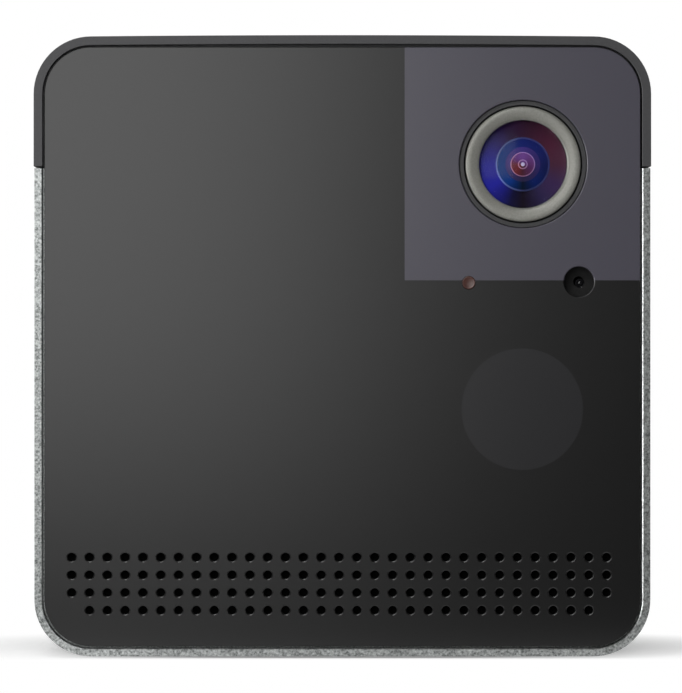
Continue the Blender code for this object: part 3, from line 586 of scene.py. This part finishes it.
# Front panel, with its speaker holes
def grille_opening():
    """The edge of the speaker holes' cells, corner to corner."""
    left = grille_x - hole_columns * hole_pitch_x / 2
    right = grille_x + hole_columns * hole_pitch_x / 2
    low = grille_z - hole_pitch_z / 2
    rows = [low + i * hole_pitch_z for i in range(hole_rows + 1)]
    columns = [left + i * hole_pitch_x for i in range(hole_columns + 1)]
    loop = [(x, low) for x in columns[1:-1]] + [(columns[-2], rows[1])]
    loop += [(right, z) for z in rows[1:]] + [(x, rows[-1]) for x in columns[-2::-1]]
    loop += [(left, z) for z in rows[-2:0:-1]] + [(columns[1], rows[1])]
    return loop


def make_cell():
    """One speaker hole with its stepped lip, in a cell of the plate."""
    bm = bmesh.new()
    half_x, half_z = hole_pitch_x / 2, hole_pitch_z / 2
    corners = [(half_x, half_z), (-half_x, half_z), (-half_x, -half_z), (half_x, -half_z)]
    lip = circle((0, 0), lip_radius, CELL_STEPS)
    bore = circle((0, 0), hole_radius, CELL_STEPS)
    step = circle((0, 0), lip_radius - lip_step, CELL_STEPS)
    step_depth, bore_depth = 0.42 * lip_step, 1.4 * lip_step
    at_lip, at_step = ring(bm, lip, panel_front), ring(bm, step, panel_front + step_depth)
    at_bore, at_back = ring(bm, bore, panel_front + bore_depth), ring(bm, bore, panel_back)
    for one, two in ((at_lip, at_step), (at_step, at_bore), (at_bore, at_back)):
        strip(bm, one, two)
    side_steps = CELL_STEPS // 4
    for circled, face in ((at_lip, panel_front), (at_back, panel_back)):
        outer = ring(bm, corners, face)
        for side in range(4):
            first = side_steps * side
            for i in range(first, first + side_steps):
                bm.faces.new((outer[side], circled[i], circled[(i + 1) % CELL_STEPS]))
            bm.faces.new((outer[side], circled[(first + side_steps) % CELL_STEPS],
                          outer[(side + 1) % 4]))
    return finished("cell", bm)


def node_group(name, inputs):
    """A node tree with a geometry and the named inputs, whose sockets it returns."""
    tree = bpy.data.node_groups.new(name, "GeometryNodeTree")
    for label, kind in [("Geometry", "NodeSocketGeometry")] + inputs:
        tree.interface.new_socket(label, in_out="INPUT", socket_type=kind)
    tree.interface.new_socket("Geometry", in_out="OUTPUT", socket_type="NodeSocketGeometry")
    return tree, add(tree, "NodeGroupInput").outputs


def hole_pattern():
    """Sets a cell in every place of a grid but the two lower corners, and welds them in."""
    tree, given = node_group("speaker hole pattern", [
        ("Cell", "NodeSocketObject"), ("Pitch Across", "NodeSocketFloat"),
        ("Pitch Up", "NodeSocketFloat"), ("Columns", "NodeSocketInt"),
        ("Rows", "NodeSocketInt"), ("Middle", "NodeSocketVector"),
        ("Weld", "NodeSocketFloat"), ("Material", "NodeSocketMaterial")])

    # A grid with one point for each place
    across, up = given["Pitch Across"], given["Pitch Up"]
    gaps_across = add(tree, "ShaderNodeMath", {0: given["Columns"], 1: 1.0},
                      operation="SUBTRACT")
    gaps_up = add(tree, "ShaderNodeMath", {0: given["Rows"], 1: 1.0}, operation="SUBTRACT")
    width = add(tree, "ShaderNodeMath", {0: gaps_across, 1: across}, operation="MULTIPLY")
    height = add(tree, "ShaderNodeMath", {0: gaps_up, 1: up}, operation="MULTIPLY")
    grid = add(tree, "GeometryNodeMeshGrid", {"Size X": width, "Size Y": height,
                                              "Vertices X": given["Columns"],
                                              "Vertices Y": given["Rows"]})

    # The two end places of the lowest row are left out
    spot = add(tree, "ShaderNodeSeparateXYZ", {0: add(tree, "GeometryNodeInputPosition")})
    aside = add(tree, "ShaderNodeMath", {0: spot.outputs["X"]}, operation="ABSOLUTE")
    spare = add(tree, "ShaderNodeMath", {0: width, 1: across}, operation="SUBTRACT")
    edge = add(tree, "ShaderNodeMath", {0: spare, 1: 0.5}, operation="MULTIPLY")
    outermost = add(tree, "ShaderNodeMath", {0: aside, 1: edge}, operation="GREATER_THAN")
    rise = add(tree, "ShaderNodeMath", {0: up, 1: height}, operation="SUBTRACT")
    level = add(tree, "ShaderNodeMath", {0: rise, 1: 0.5}, operation="MULTIPLY")
    lowest = add(tree, "ShaderNodeMath", {0: spot.outputs["Y"], 1: level},
                 operation="LESS_THAN")
    corners = add(tree, "ShaderNodeMath", {0: outermost, 1: lowest}, operation="MULTIPLY")
    kept = add(tree, "GeometryNodeDeleteGeometry", {"Geometry": grid.outputs["Mesh"],
                                                    "Selection": corners}, domain="POINT")

    # The grid is stood up in the grille, and each place takes a cell
    stood = add(tree, "ShaderNodeCombineXYZ", {"X": spot.outputs["X"], "Z": spot.outputs["Y"]})
    moved = add(tree, "ShaderNodeVectorMath", {0: stood, 1: given["Middle"]}, operation="ADD")
    points = add(tree, "GeometryNodeSetPosition", {"Geometry": kept, "Position": moved})
    cell = add(tree, "GeometryNodeObjectInfo", {"Object": given["Cell"]})
    copies = add(tree, "GeometryNodeInstanceOnPoints", {"Points": points,
                                                        "Instance": cell.outputs["Geometry"]})

    # The cells are joined and welded to the plate round them
    both = add(tree, "GeometryNodeJoinGeometry")
    tree.links.new(copies.outputs[0], both.inputs[0])
    tree.links.new(given["Geometry"], both.inputs[0])
    real = add(tree, "GeometryNodeRealizeInstances", {"Geometry": both})
    welded = add(tree, "GeometryNodeMergeByDistance", {"Geometry": real,
                                                       "Distance": given["Weld"]})
    done = add(tree, "GeometryNodeSetMaterial", {"Geometry": welded,
                                                 "Material": given["Material"]})
    add(tree, "NodeGroupOutput", {"Geometry": done})
    return tree


def grown(piece, tree, values):
    """Runs a node tree on a piece with its inputs set, and leaves a plain mesh."""
    modifier = piece.modifiers.new(tree.name, "NODES")
    modifier.node_group = tree
    for item in tree.interface.items_tree:
        if item.item_type == "SOCKET" and item.in_out == "INPUT" and item.name in values:
            modifier[item.identifier] = values[item.name]
    settled(piece)


def make_panel():
    """The sheet with its round holes, and the speaker holes grown into its opening."""
    bm = bmesh.new()
    inset = rim + panel_gap
    slab(bm, panel_front, panel_back, lambda d: front_outline(inset + d),
         [lambda d: circle(lens_at, lens_hole_radius - d),
          lambda d: circle(port_at, port_radius - d, 48),
          lambda d: circle(light_at, light_hole_radius - d / 4, 40)],
         openings=[grille_opening()])
    panel = finished("panel", bm, [black_acrylic])
    cell = make_cell()
    middle = (grille_x * MM, 0.0, (grille_z + (hole_rows - 1) / 2 * hole_pitch_z) * MM)
    grown(panel, hole_pattern(), {
        "Cell": cell, "Pitch Across": hole_pitch_x * MM, "Pitch Up": hole_pitch_z * MM,
        "Columns": hole_columns, "Rows": hole_rows, "Middle": middle, "Weld": 0.01 * MM,
        "Material": black_acrylic})
    bpy.data.objects.remove(cell)
    # Sharp at the borders of its holes, so that the flat face is shaded flat
    placed(faced(panel, sharp=12), ["front_panel"])


def make_fleece():
    """A thin acoustic fleece on the back of the panel, behind the speaker holes; its black is a
    painted shade for them.
    """
    low, high, radius = (-34.3, 4.9), (33.5, 13.4), 2
    clear, thickness = 0.06, 0.14
    bm = bmesh.new()
    slab(bm, panel_back + clear, panel_back + clear + thickness,
         lambda d: rounded((low[0] + d, low[1] + d), (high[0] - d, high[1] - d), radius - d),
         edge=0.03)
    placed(flattened(finished("fleece", bm, [fleece], sharp=60)))


make_panel()
make_fleece()


# Lens, light sensor and status light
OUTER, SECOND_EDGE, SECOND, THIRD_EDGE, THIRD, PALE_EDGE, IRIS = range(7)


def dome(radius, rim_depth, apex_depth, rings=10):
    """The curve of a lens face, from its rim in to the axis."""
    turns = [math.pi / 2 * (1 - i / rings) for i in range(rings + 1)]
    return [(radius * math.sin(t), rim_depth + (apex_depth - rim_depth)
             * (1 - math.sin(t) ** 2)) for t in turns[:-1]] + [(0, apex_depth)]


def make_lens():
    """The collar, the barrel with its rolled lip, the front glass and the glass behind it."""
    # Profiles are points of (radius, depth), in millimetres
    collar = [(7.3, -37.36), (7.34, -37.4), (7.8, -37.4), (7.84, -37.36), (7.84, -36.4),
              (8.9, -36.4), (8.9, -34.6), (7.3, -34.6)]
    placed(turned("collar", collar, lens_at, [abs_plastic]), ["lens_collar"])
    barrel = [(5.42, -37.3), (5.44, -37.5), (5.56, -37.66), (5.9, -37.78), (6.4, -37.86),
              (6.86, -37.9), (6.98, -37.86), (7.1, -37.7), (7.12, -37.5), (7.12, -33.9),
              (6.0, -33.9), (6.0, -27.4), (3.9, -27.4), (3.9, -34.9), (5.55, -34.9),
              (5.55, -37.1)]
    placed(turned("barrel", barrel, lens_at, [grey_metal], sharp=50), ["lens_barrel"])
    front = dome(5.4, -37.2, -38.0)
    smaller, further_in = 0.93, 0.45
    inside = [(radius * smaller, depth + further_in)
              for radius, depth in dome(5.2, -37.1, -37.9)][::-1]
    shell = front + inside + [(5.1, -36.7), (5.4, -36.7)]
    placed(turned("front_glass", shell, lens_at, [glass]), ["front_lens"])
    # Each point is (radius, depth, coating of the band that starts there); each band's colour is a
    # painted reflection
    stack = [(5.4, -36.5, OUTER), (4.6, -36.42, OUTER), (3.34, -36.1, SECOND_EDGE),
             (3.3, -36.2, SECOND_EDGE), (3.18, -36.2, SECOND_EDGE), (3.14, -36.1, SECOND),
             (2.6, -36.2, SECOND), (2.14, -36.25, THIRD_EDGE), (1.8, -36.27, THIRD_EDGE),
             (1.52, -36.3, PALE_EDGE), (1.46, -36.34, PALE_EDGE), (1.4, -36.3, THIRD),
             (1.0, -36.36, THIRD), (0.6, -36.4, PALE_EDGE), (0.57, -36.43, PALE_EDGE),
             (0.5, -36.43, PALE_EDGE), (0.47, -36.4, THIRD), (0.24, -36.42, IRIS),
             (0.0, -36.44, OUTER), (0.0, -35.4, OUTER), (5.4, -35.4, OUTER)]
    profile = [(radius, depth) for radius, depth, coating in stack]
    zones = [coating for radius, depth, coating in stack]
    placed(turned("lens_stack", profile, lens_at, painted_lens_reflections(), zones, sharp=60))


def painted_reflection_glass(name, hues, roughness=0.2):
    """Coated glass with painted reflections: its hue turns round the lens as the room's
    reflections off a coating would, from the left by way of the bottom, where a painted shade
    takes it near black. A low specular level keeps it deep."""
    material, tree, shader = surface(name, Roughness=roughness, IOR=1.5)
    shader.inputs["Specular IOR Level"].default_value = 0.04
    place = add(tree, "ShaderNodeTexCoord").outputs["Object"]
    centred = add(tree, "ShaderNodeVectorMath", {0: place, 1: (lens_at[0] * MM, 0,
                                                               lens_at[1] * MM)},
                  operation="SUBTRACT")
    faced_up = add(tree, "ShaderNodeMapping", {"Vector": centred,
                                               "Rotation": (-math.pi / 2, 0, 0)})
    turn = add(tree, "ShaderNodeTexGradient", {"Vector": faced_up}, gradient_type="RADIAL")
    ramp = add(tree, "ShaderNodeValToRGB", {"Fac": turn})
    stops = ramp.color_ramp.elements
    for i, (at, colour) in enumerate(hues):
        stop = stops[i] if i < 2 else stops.new(at)
        stop.position = at
        stop.color = linear(colour)
    tree.links.new(ramp.outputs[0], shader.inputs["Base Color"])
    return material


def painted_lens_reflections():
    """The finish of each band of the stack, with its hues at fractions of a turn: painted
    reflections and shade, and a painted highlight in the middle.
    """
    return [
        painted_reflection_glass("outer element with painted violet reflections", [
            (0.0, "3c3cb4"), (0.10, "3c3cc0"), (0.20, "26244c"), (0.25, "241c20"),
            (0.33, "3a2c58"), (0.42, "50305c"), (0.5, "5e2c40"), (0.6, "642a3c"),
            (0.72, "522c3c"), (0.82, "40284e"), (0.92, "363088"), (1.0, "3c3cb4")]),
        painted_reflection_glass("second element's edge with a painted highlight", [
            (0.0, "8fa4d8"), (0.1, "9ab0e4"), (0.25, "4a5078"), (0.5, "54588c"),
            (0.75, "545c90"), (1.0, "8fa4d8")], 0.3),
        painted_reflection_glass("second element with painted blue reflections", [
            (0.0, "144a90"), (0.15, "18489a"), (0.25, "14202c"), (0.34, "1c3074"),
            (0.5, "262c66"), (0.75, "24307c"), (1.0, "144a90")]),
        painted_reflection_glass("third element's edge with painted violet reflections", [
            (0.0, "5a4a90"), (0.25, "3a3450"), (0.5, "4a3c7c"), (0.75, "54408c"),
            (1.0, "5a4a90")], 0.3),
        painted_reflection_glass("third element with painted rose reflections", [
            (0.0, "8c4048"), (0.12, "8c3434"), (0.25, "60303c"), (0.5, "7c4480"),
            (0.75, "8c58a4"), (0.9, "7c4888"), (1.0, "8c4048")]),
        painted_reflection_glass("aperture edge with a painted pale highlight", [
            (0.0, "f0a8b8"), (0.25, "c88ca0"), (0.5, "c498c8"), (0.75, "d0a4dc"),
            (1.0, "f0a8b8")], 0.3),
        iris_highlight]


def make_small_front_pieces():
    """The light sensor in its rubber well, and the status light's pipe."""
    sleeve = [(0.62, -35.9), (0.66, -36.0), (1.2, -36.12), (1.9, -36.35), (2.65, -36.4),
              (2.65, -33.8), (0.62, -33.8)]
    placed(turned("sleeve", sleeve, port_at, [rubber], steps=48), ["sensor_sleeve"])
    eye_aside, eye_down = 0.15, 0.2
    eye = dome(0.5, -36.02, -36.3, 6)[::-1]
    eye += [(0.56, -36.05), (0.6, -35.95), (0.6, -33.8), (0, -33.8)]
    eye_at = (port_at[0] + eye_aside, port_at[1] - eye_down)
    placed(turned("eye", eye, eye_at, [dark_glass], steps=40, closed=False),
           ["light_sensor"])
    pipe = [(0, -37.82), (0.5, -37.83), (0.62, -37.86), (0.7, -37.89), (0.78, -37.88),
            (0.81, -37.84), (0.81, -34.6), (0, -34.6)]
    placed(turned("light_pipe", pipe, light_at, [light_pipe], steps=40, closed=False,
                  sharp=80), ["status_light"])


make_lens()
make_small_front_pieces()


# Rear cover and what is in it
def make_rear():
    """The cover with its screw recesses, the reset key and the inlet in its relief."""
    inset = rim + panel_gap
    relief, relief_corner, relief_depth = (6.0, 3.75), 1.2, 0.8
    slot, slot_corner = (4.1, 1.75), 0.9
    recess_radius, recess_floor = 1.9, 36.57
    pockets = [(lambda d: rounded_at(socket_at, relief, relief_corner - d, d),
                cover_back - relief_depth,
                [lambda d: rounded_at(socket_at, slot, slot_corner, d)])]
    pockets += [(lambda d, at=at: circle(at, recess_radius - d, 40), recess_floor, ())
                for at in screw_places]
    bm = bmesh.new()
    slab(bm, cover_back, cover_front, lambda d: front_outline(inset + d),
         [lambda d: circle(key_at, key_hole_radius - d, 40)], pockets=pockets, edge=cover_edge)
    cover = finished("back_cover", bm, [abs_plastic], sharp=60)
    placed(flattened(cover), ["rear_cover"])

    # The key is a pin with a lip that holds it in, and a slightly dished end
    pin, lip, lip_front, lip_back = 1.5, 2.3, 34.8, cover_front - fit_gap
    key = [(0, 32.3), (pin, 32.3), (pin, lip_front), (lip, lip_front), (lip, lip_back),
           (pin, lip_back), (pin, 37.75), (1.36, cover_back), (1.1, cover_back), (0.8, 37.84),
           (0.4, 37.8), (0, 37.79)]
    placed(turned("key", key, key_at, [grey_pom], steps=48, closed=False),
           ["reset_button"], body="reset_body")

    shell, shell_corner = (3.8, 1.45), 1.0
    hollow, hollow_corner = (3.4, 1.05), 0.7
    tongue, tongue_corner = (2.6, 0.35), 0.1
    mouth, shell_back, hollow_floor = 37.3, 29.2, 30.8
    tongue_root, tongue_tip = 30.7, 36.6
    bm = bmesh.new()
    slab(bm, mouth, shell_back, lambda d: rounded_at(socket_at, shell, shell_corner, d),
         pockets=[(lambda d: rounded_at(socket_at, hollow, hollow_corner, d), hollow_floor, ())],
         edge=0.1, hole_round=0.08)
    prism(bm, rounded_at(socket_at, tongue, tongue_corner, steps=2), tongue_root, tongue_tip)
    socket = finished("socket", bm, [steel], sharp=60)
    placed(flattened(socket), ["usb_socket"])


def copies_on_points():
    """Sets a copy of an object on each point of a piece."""
    tree, given = node_group("copies on points", [("Copy", "NodeSocketObject"),
                                                  ("Material", "NodeSocketMaterial")])
    copy = add(tree, "GeometryNodeObjectInfo", {"Object": given["Copy"]})
    spread = add(tree, "GeometryNodeInstanceOnPoints", {"Points": given["Geometry"],
                                                        "Instance": copy.outputs["Geometry"]})
    real = add(tree, "GeometryNodeRealizeInstances", {"Geometry": spread})
    done = add(tree, "GeometryNodeSetMaterial", {"Geometry": real,
                                                 "Material": given["Material"]})
    add(tree, "NodeGroupOutput", {"Geometry": done})
    return tree


def repeated(name, points, original, material):
    """One piece with a copy of the original on each point, in place of the original."""
    mesh = bpy.data.meshes.new(name)
    mesh.from_pydata([Vector(p) * MM for p in points], [], [])
    piece = bpy.data.objects.new(name, mesh)
    bpy.context.scene.collection.objects.link(piece)
    grown(piece, copies_on_points(), {"Copy": original, "Material": material})
    bpy.data.objects.remove(original)
    return piece


def make_screws():
    """Cross-recessed pan heads on plain shanks."""
    head_under, head_height, length = 36.867, 1.0, 6.0
    head_top, shank_tip = head_under + head_height, head_under - length
    shoulder, recess_floor, recess_taper = 37.7, 37.2, 0.8
    head, rounded_head, shank = (circle((0, 0), radius, 32) for radius in (1.6, 1.42, 0.8))
    arm, reach = 0.22, 0.95
    cross = [(reach, arm), (arm, arm), (arm, reach), (-arm, reach), (-arm, arm), (-reach, arm),
             (-reach, -arm), (-arm, -arm), (-arm, -reach), (arm, -reach), (arm, -arm),
             (reach, -arm)]
    floor_cross = [(recess_taper * u, recess_taper * v) for u, v in cross]
    bm = bmesh.new()
    top, side = ring(bm, rounded_head, head_top), ring(bm, head, shoulder)
    under, neck = ring(bm, head, head_under), ring(bm, shank, head_under)
    tip = ring(bm, shank, shank_tip)
    recess, floor = ring(bm, cross, head_top), ring(bm, floor_cross, recess_floor)
    for one, two in ((top, side), (side, under), (under, neck), (neck, tip), (recess, floor)):
        strip(bm, one, two)
    fill(bm, [top, recess], [rounded_head, cross])
    fill(bm, [floor], [cross])
    fill(bm, [tip], [shank])
    original = finished("screw", bm)
    screws = repeated("rear_screws", [(x, 0, z) for x, z in screw_places], original, steel)
    placed(screws, [f"rear_screw_{i}" for i in range(1, 5)])


make_rear()
make_screws()


# Underside
def make_underside():
    """The rubber foot, and the threaded insert that shows in its middle."""
    bm = bmesh.new()
    slab(bm, 0.0, foot_thickness,
         lambda d: rounded_at((0, 0), (foot_half, foot_half), foot_radius - d, d,
                              CORNER_STEPS),
         [lambda d: circle((0, 0), foot_hole_radius - d)], edge=0.15, lay=lying)
    foot = finished("foot", bm, [rubber], sharp=60)
    placed(flattened(foot), ["foot_pad"])
    side, flange, flange_low, flange_high = insert_radius, 6.2, 2.5, 4.0
    low, high = foot_thickness, 7.0
    bore, bore_top = 3.2, 6.2
    chamfer, lead_in = 0.2, 0.3
    insert = [(0, high), (side, high), (side, flange_high), (flange, flange_high),
              (flange, flange_low), (side, flange_low), (side, low + chamfer),
              (side - chamfer, low), (bore + lead_in, low), (bore, low + lead_in),
              (bore, bore_top), (0, bore_top)]
    placed(turned("insert", insert, (0, 0), [brass], steps=64, closed=False, lay=lying),
           ["tripod_insert"])


make_underside()


# Inner pieces that keep their shape
def finish_inner_pieces():
    """Gives each node of the part the finish that its slot names."""
    by_slot = {
        "blasted_aluminium": aluminium, "black_abs": abs_plastic, "black_acrylic": black_acrylic,
        "window_filter": black_acrylic, "grey_barrel": grey_metal, "lens_glass": glass,
        "red_light_pipe": light_pipe, "rubber": rubber, "brass": brass, "steel": steel,
        "circuit_board": board, "chip_black": resin, "paper_cone": paper_pulp,
        "amber_film": amber_film, "grey_pom": grey_pom}
    # The speaker mesh and the microphone take the black mesh in place of their slot's finish: a
    # painted shade for what shows through the holes
    by_node = {"speaker_mesh": shade_black_mesh, "microphone": shade_black_mesh}
    for part in frame["record"]["subparts"]:
        materials = frame["nodes"][part["node"]].data.materials
        materials.clear()
        materials.append(by_node.get(part["node"], by_slot[part["material_slot"]]))


finish_inner_pieces()


# Floor, light and camera
def make_floor():
    """A white sweep: near the object it takes its shadow, and far off it is plain white."""
    low, high, corner, drop = (-500, -56), (500, 700), 12, -0.03
    shadow_reach, white_from = 0.038, 0.06
    front_foot, white_before = -0.0375, -0.042
    bm = bmesh.new()
    loop = rounded(low, high, corner, 12)
    fill(bm, [ring(bm, loop, drop, lying)], [loop])
    # Matt paper: pale without a shine, so that it shows only the soft shadow
    white, tree, shader = surface("white paper sweep", Roughness=0.9)
    shader.inputs["Base Color"].default_value = linear("ebebeb")
    rays = add(tree, "ShaderNodeLightPath").outputs
    place = add(tree, "ShaderNodeTexCoord").outputs["Object"]
    # Plain white away from the object for the eye and its mirrors, and before it for the eye
    reach = add(tree, "ShaderNodeVectorMath", {0: place}, operation="LENGTH")
    away = add(tree, "ShaderNodeMapRange", {"Value": reach.outputs["Value"],
                                            "From Min": shadow_reach,
                                            "From Max": white_from})
    depth = add(tree, "ShaderNodeSeparateXYZ", {0: place})
    before = add(tree, "ShaderNodeMapRange", {"Value": depth.outputs["Y"],
                                              "From Min": front_foot,
                                              "From Max": white_before})
    seen = add(tree, "ShaderNodeMath", {0: rays["Is Camera Ray"], 1: rays["Is Glossy Ray"]},
               operation="MAXIMUM")
    seen = add(tree, "ShaderNodeMath", {0: seen, 1: rays["Is Transmission Ray"]},
               operation="MAXIMUM")
    around = add(tree, "ShaderNodeMath", {0: away, 1: seen}, operation="MULTIPLY")
    ahead = add(tree, "ShaderNodeMath", {0: before, 1: rays["Is Camera Ray"]},
                operation="MULTIPLY")
    share = add(tree, "ShaderNodeMath", {0: around, 1: ahead}, operation="MAXIMUM")
    plain = add(tree, "ShaderNodeEmission", {"Color": (1, 1, 1, 1), "Strength": 1.0})
    # A little white is added to the eye's view of the shadow, so that it stays pale
    lift = add(tree, "ShaderNodeMath", {0: rays["Is Camera Ray"], 1: 0.3},
               operation="MULTIPLY")
    lifted = add(tree, "ShaderNodeEmission", {"Color": (1, 1, 1, 1), "Strength": lift})
    near = add(tree, "ShaderNodeAddShader", {0: shader, 1: lifted})
    blend = add(tree, "ShaderNodeMixShader", {0: share, 1: near, 2: plain})
    tree.links.new(blend.outputs[0], tree.nodes["Material Output"].inputs["Surface"])
    floor = finished("floor", bm, [white])


def lamp(name, place, aim, size, power):
    """A soft white lamp in metres, which lights without being seen."""
    data = bpy.data.lights.new(name, "AREA")
    data.shape = "RECTANGLE"
    data.size, data.size_y = size
    data.energy = power
    made = bpy.data.objects.new(name, data)
    made.location = place
    made.rotation_euler = (Vector(aim) - Vector(place)).to_track_quat("-Z", "Y").to_euler()
    made.visible_camera = False
    bpy.context.scene.collection.objects.link(made)


def make_world():
    """White all round for the eye, half as bright for matt surfaces, and for shiny ones
    bright behind the object and dark before it, so that the front keeps its depth."""
    world = bpy.data.worlds.new("white studio")
    bpy.context.scene.world = world
    world.use_nodes = True
    tree = world.node_tree
    tree.nodes.clear()
    rays = add(tree, "ShaderNodeLightPath").outputs
    way = add(tree, "ShaderNodeSeparateXYZ", {0: add(tree, "ShaderNodeTexCoord").outputs[0]})
    behind = add(tree, "ShaderNodeMapRange", {"Value": way.outputs["Y"], "From Min": -0.2,
                                              "From Max": 0.4, "To Min": 0.02, "To Max": 1.0})
    seen = add(tree, "ShaderNodeMath", {0: rays["Is Glossy Ray"],
                                        1: rays["Is Transmission Ray"]}, operation="MAXIMUM")
    level = add(tree, "ShaderNodeMix", {"Factor": seen, NUMBER_A: 0.45, NUMBER_B: behind})
    shown = add(tree, "ShaderNodeMix", {"Factor": rays["Is Camera Ray"], NUMBER_A: level,
                                        NUMBER_B: 1.0})
    plain = add(tree, "ShaderNodeBackground", {"Color": (1, 1, 1, 1), "Strength": shown})
    add(tree, "ShaderNodeOutputWorld", {"Surface": plain})


def make_camera():
    """A long lens straight in front, in metres, level with the middle of the object."""
    distance, view_height, sensor = 0.95, 0.0855, 36
    aside, level = -0.00017, 0.03843
    data = bpy.data.cameras.new("camera")
    data.sensor_fit = "VERTICAL"
    data.sensor_height = sensor
    data.lens = sensor * distance / view_height
    camera = bpy.data.objects.new("camera", data)
    camera.location = (aside, front_y * MM - distance, level)
    camera.rotation_euler = (math.pi / 2, 0, 0)
    bpy.context.scene.collection.objects.link(camera)
    bpy.context.scene.camera = camera


make_floor()
make_world()
make_camera()

# The key gives the panel its glow from the upper left, the fill lights the lens's right,
# the top lamp evens the panel out, and the side lamp draws the thin line on the right rim
lamp("key", (-0.06, -0.25, 0.09), (0, -0.038, 0.038), (0.13, 0.15), 0.2)
lamp("fill", (0.42, -0.44, 0.12), (0, -0.038, 0.038), (0.04, 0.04), 0.025)
lamp("top", (-0.08, -0.36, 0.36), (0, -0.038, 0.02), (0.12, 0.12), 0.4)
lamp("side", (-0.5, -0.125, 0.03), (0, -0.04, 0.03), (0.1, 0.2), 1.4)
bpy.context.scene.view_settings.view_transform = "Standard"
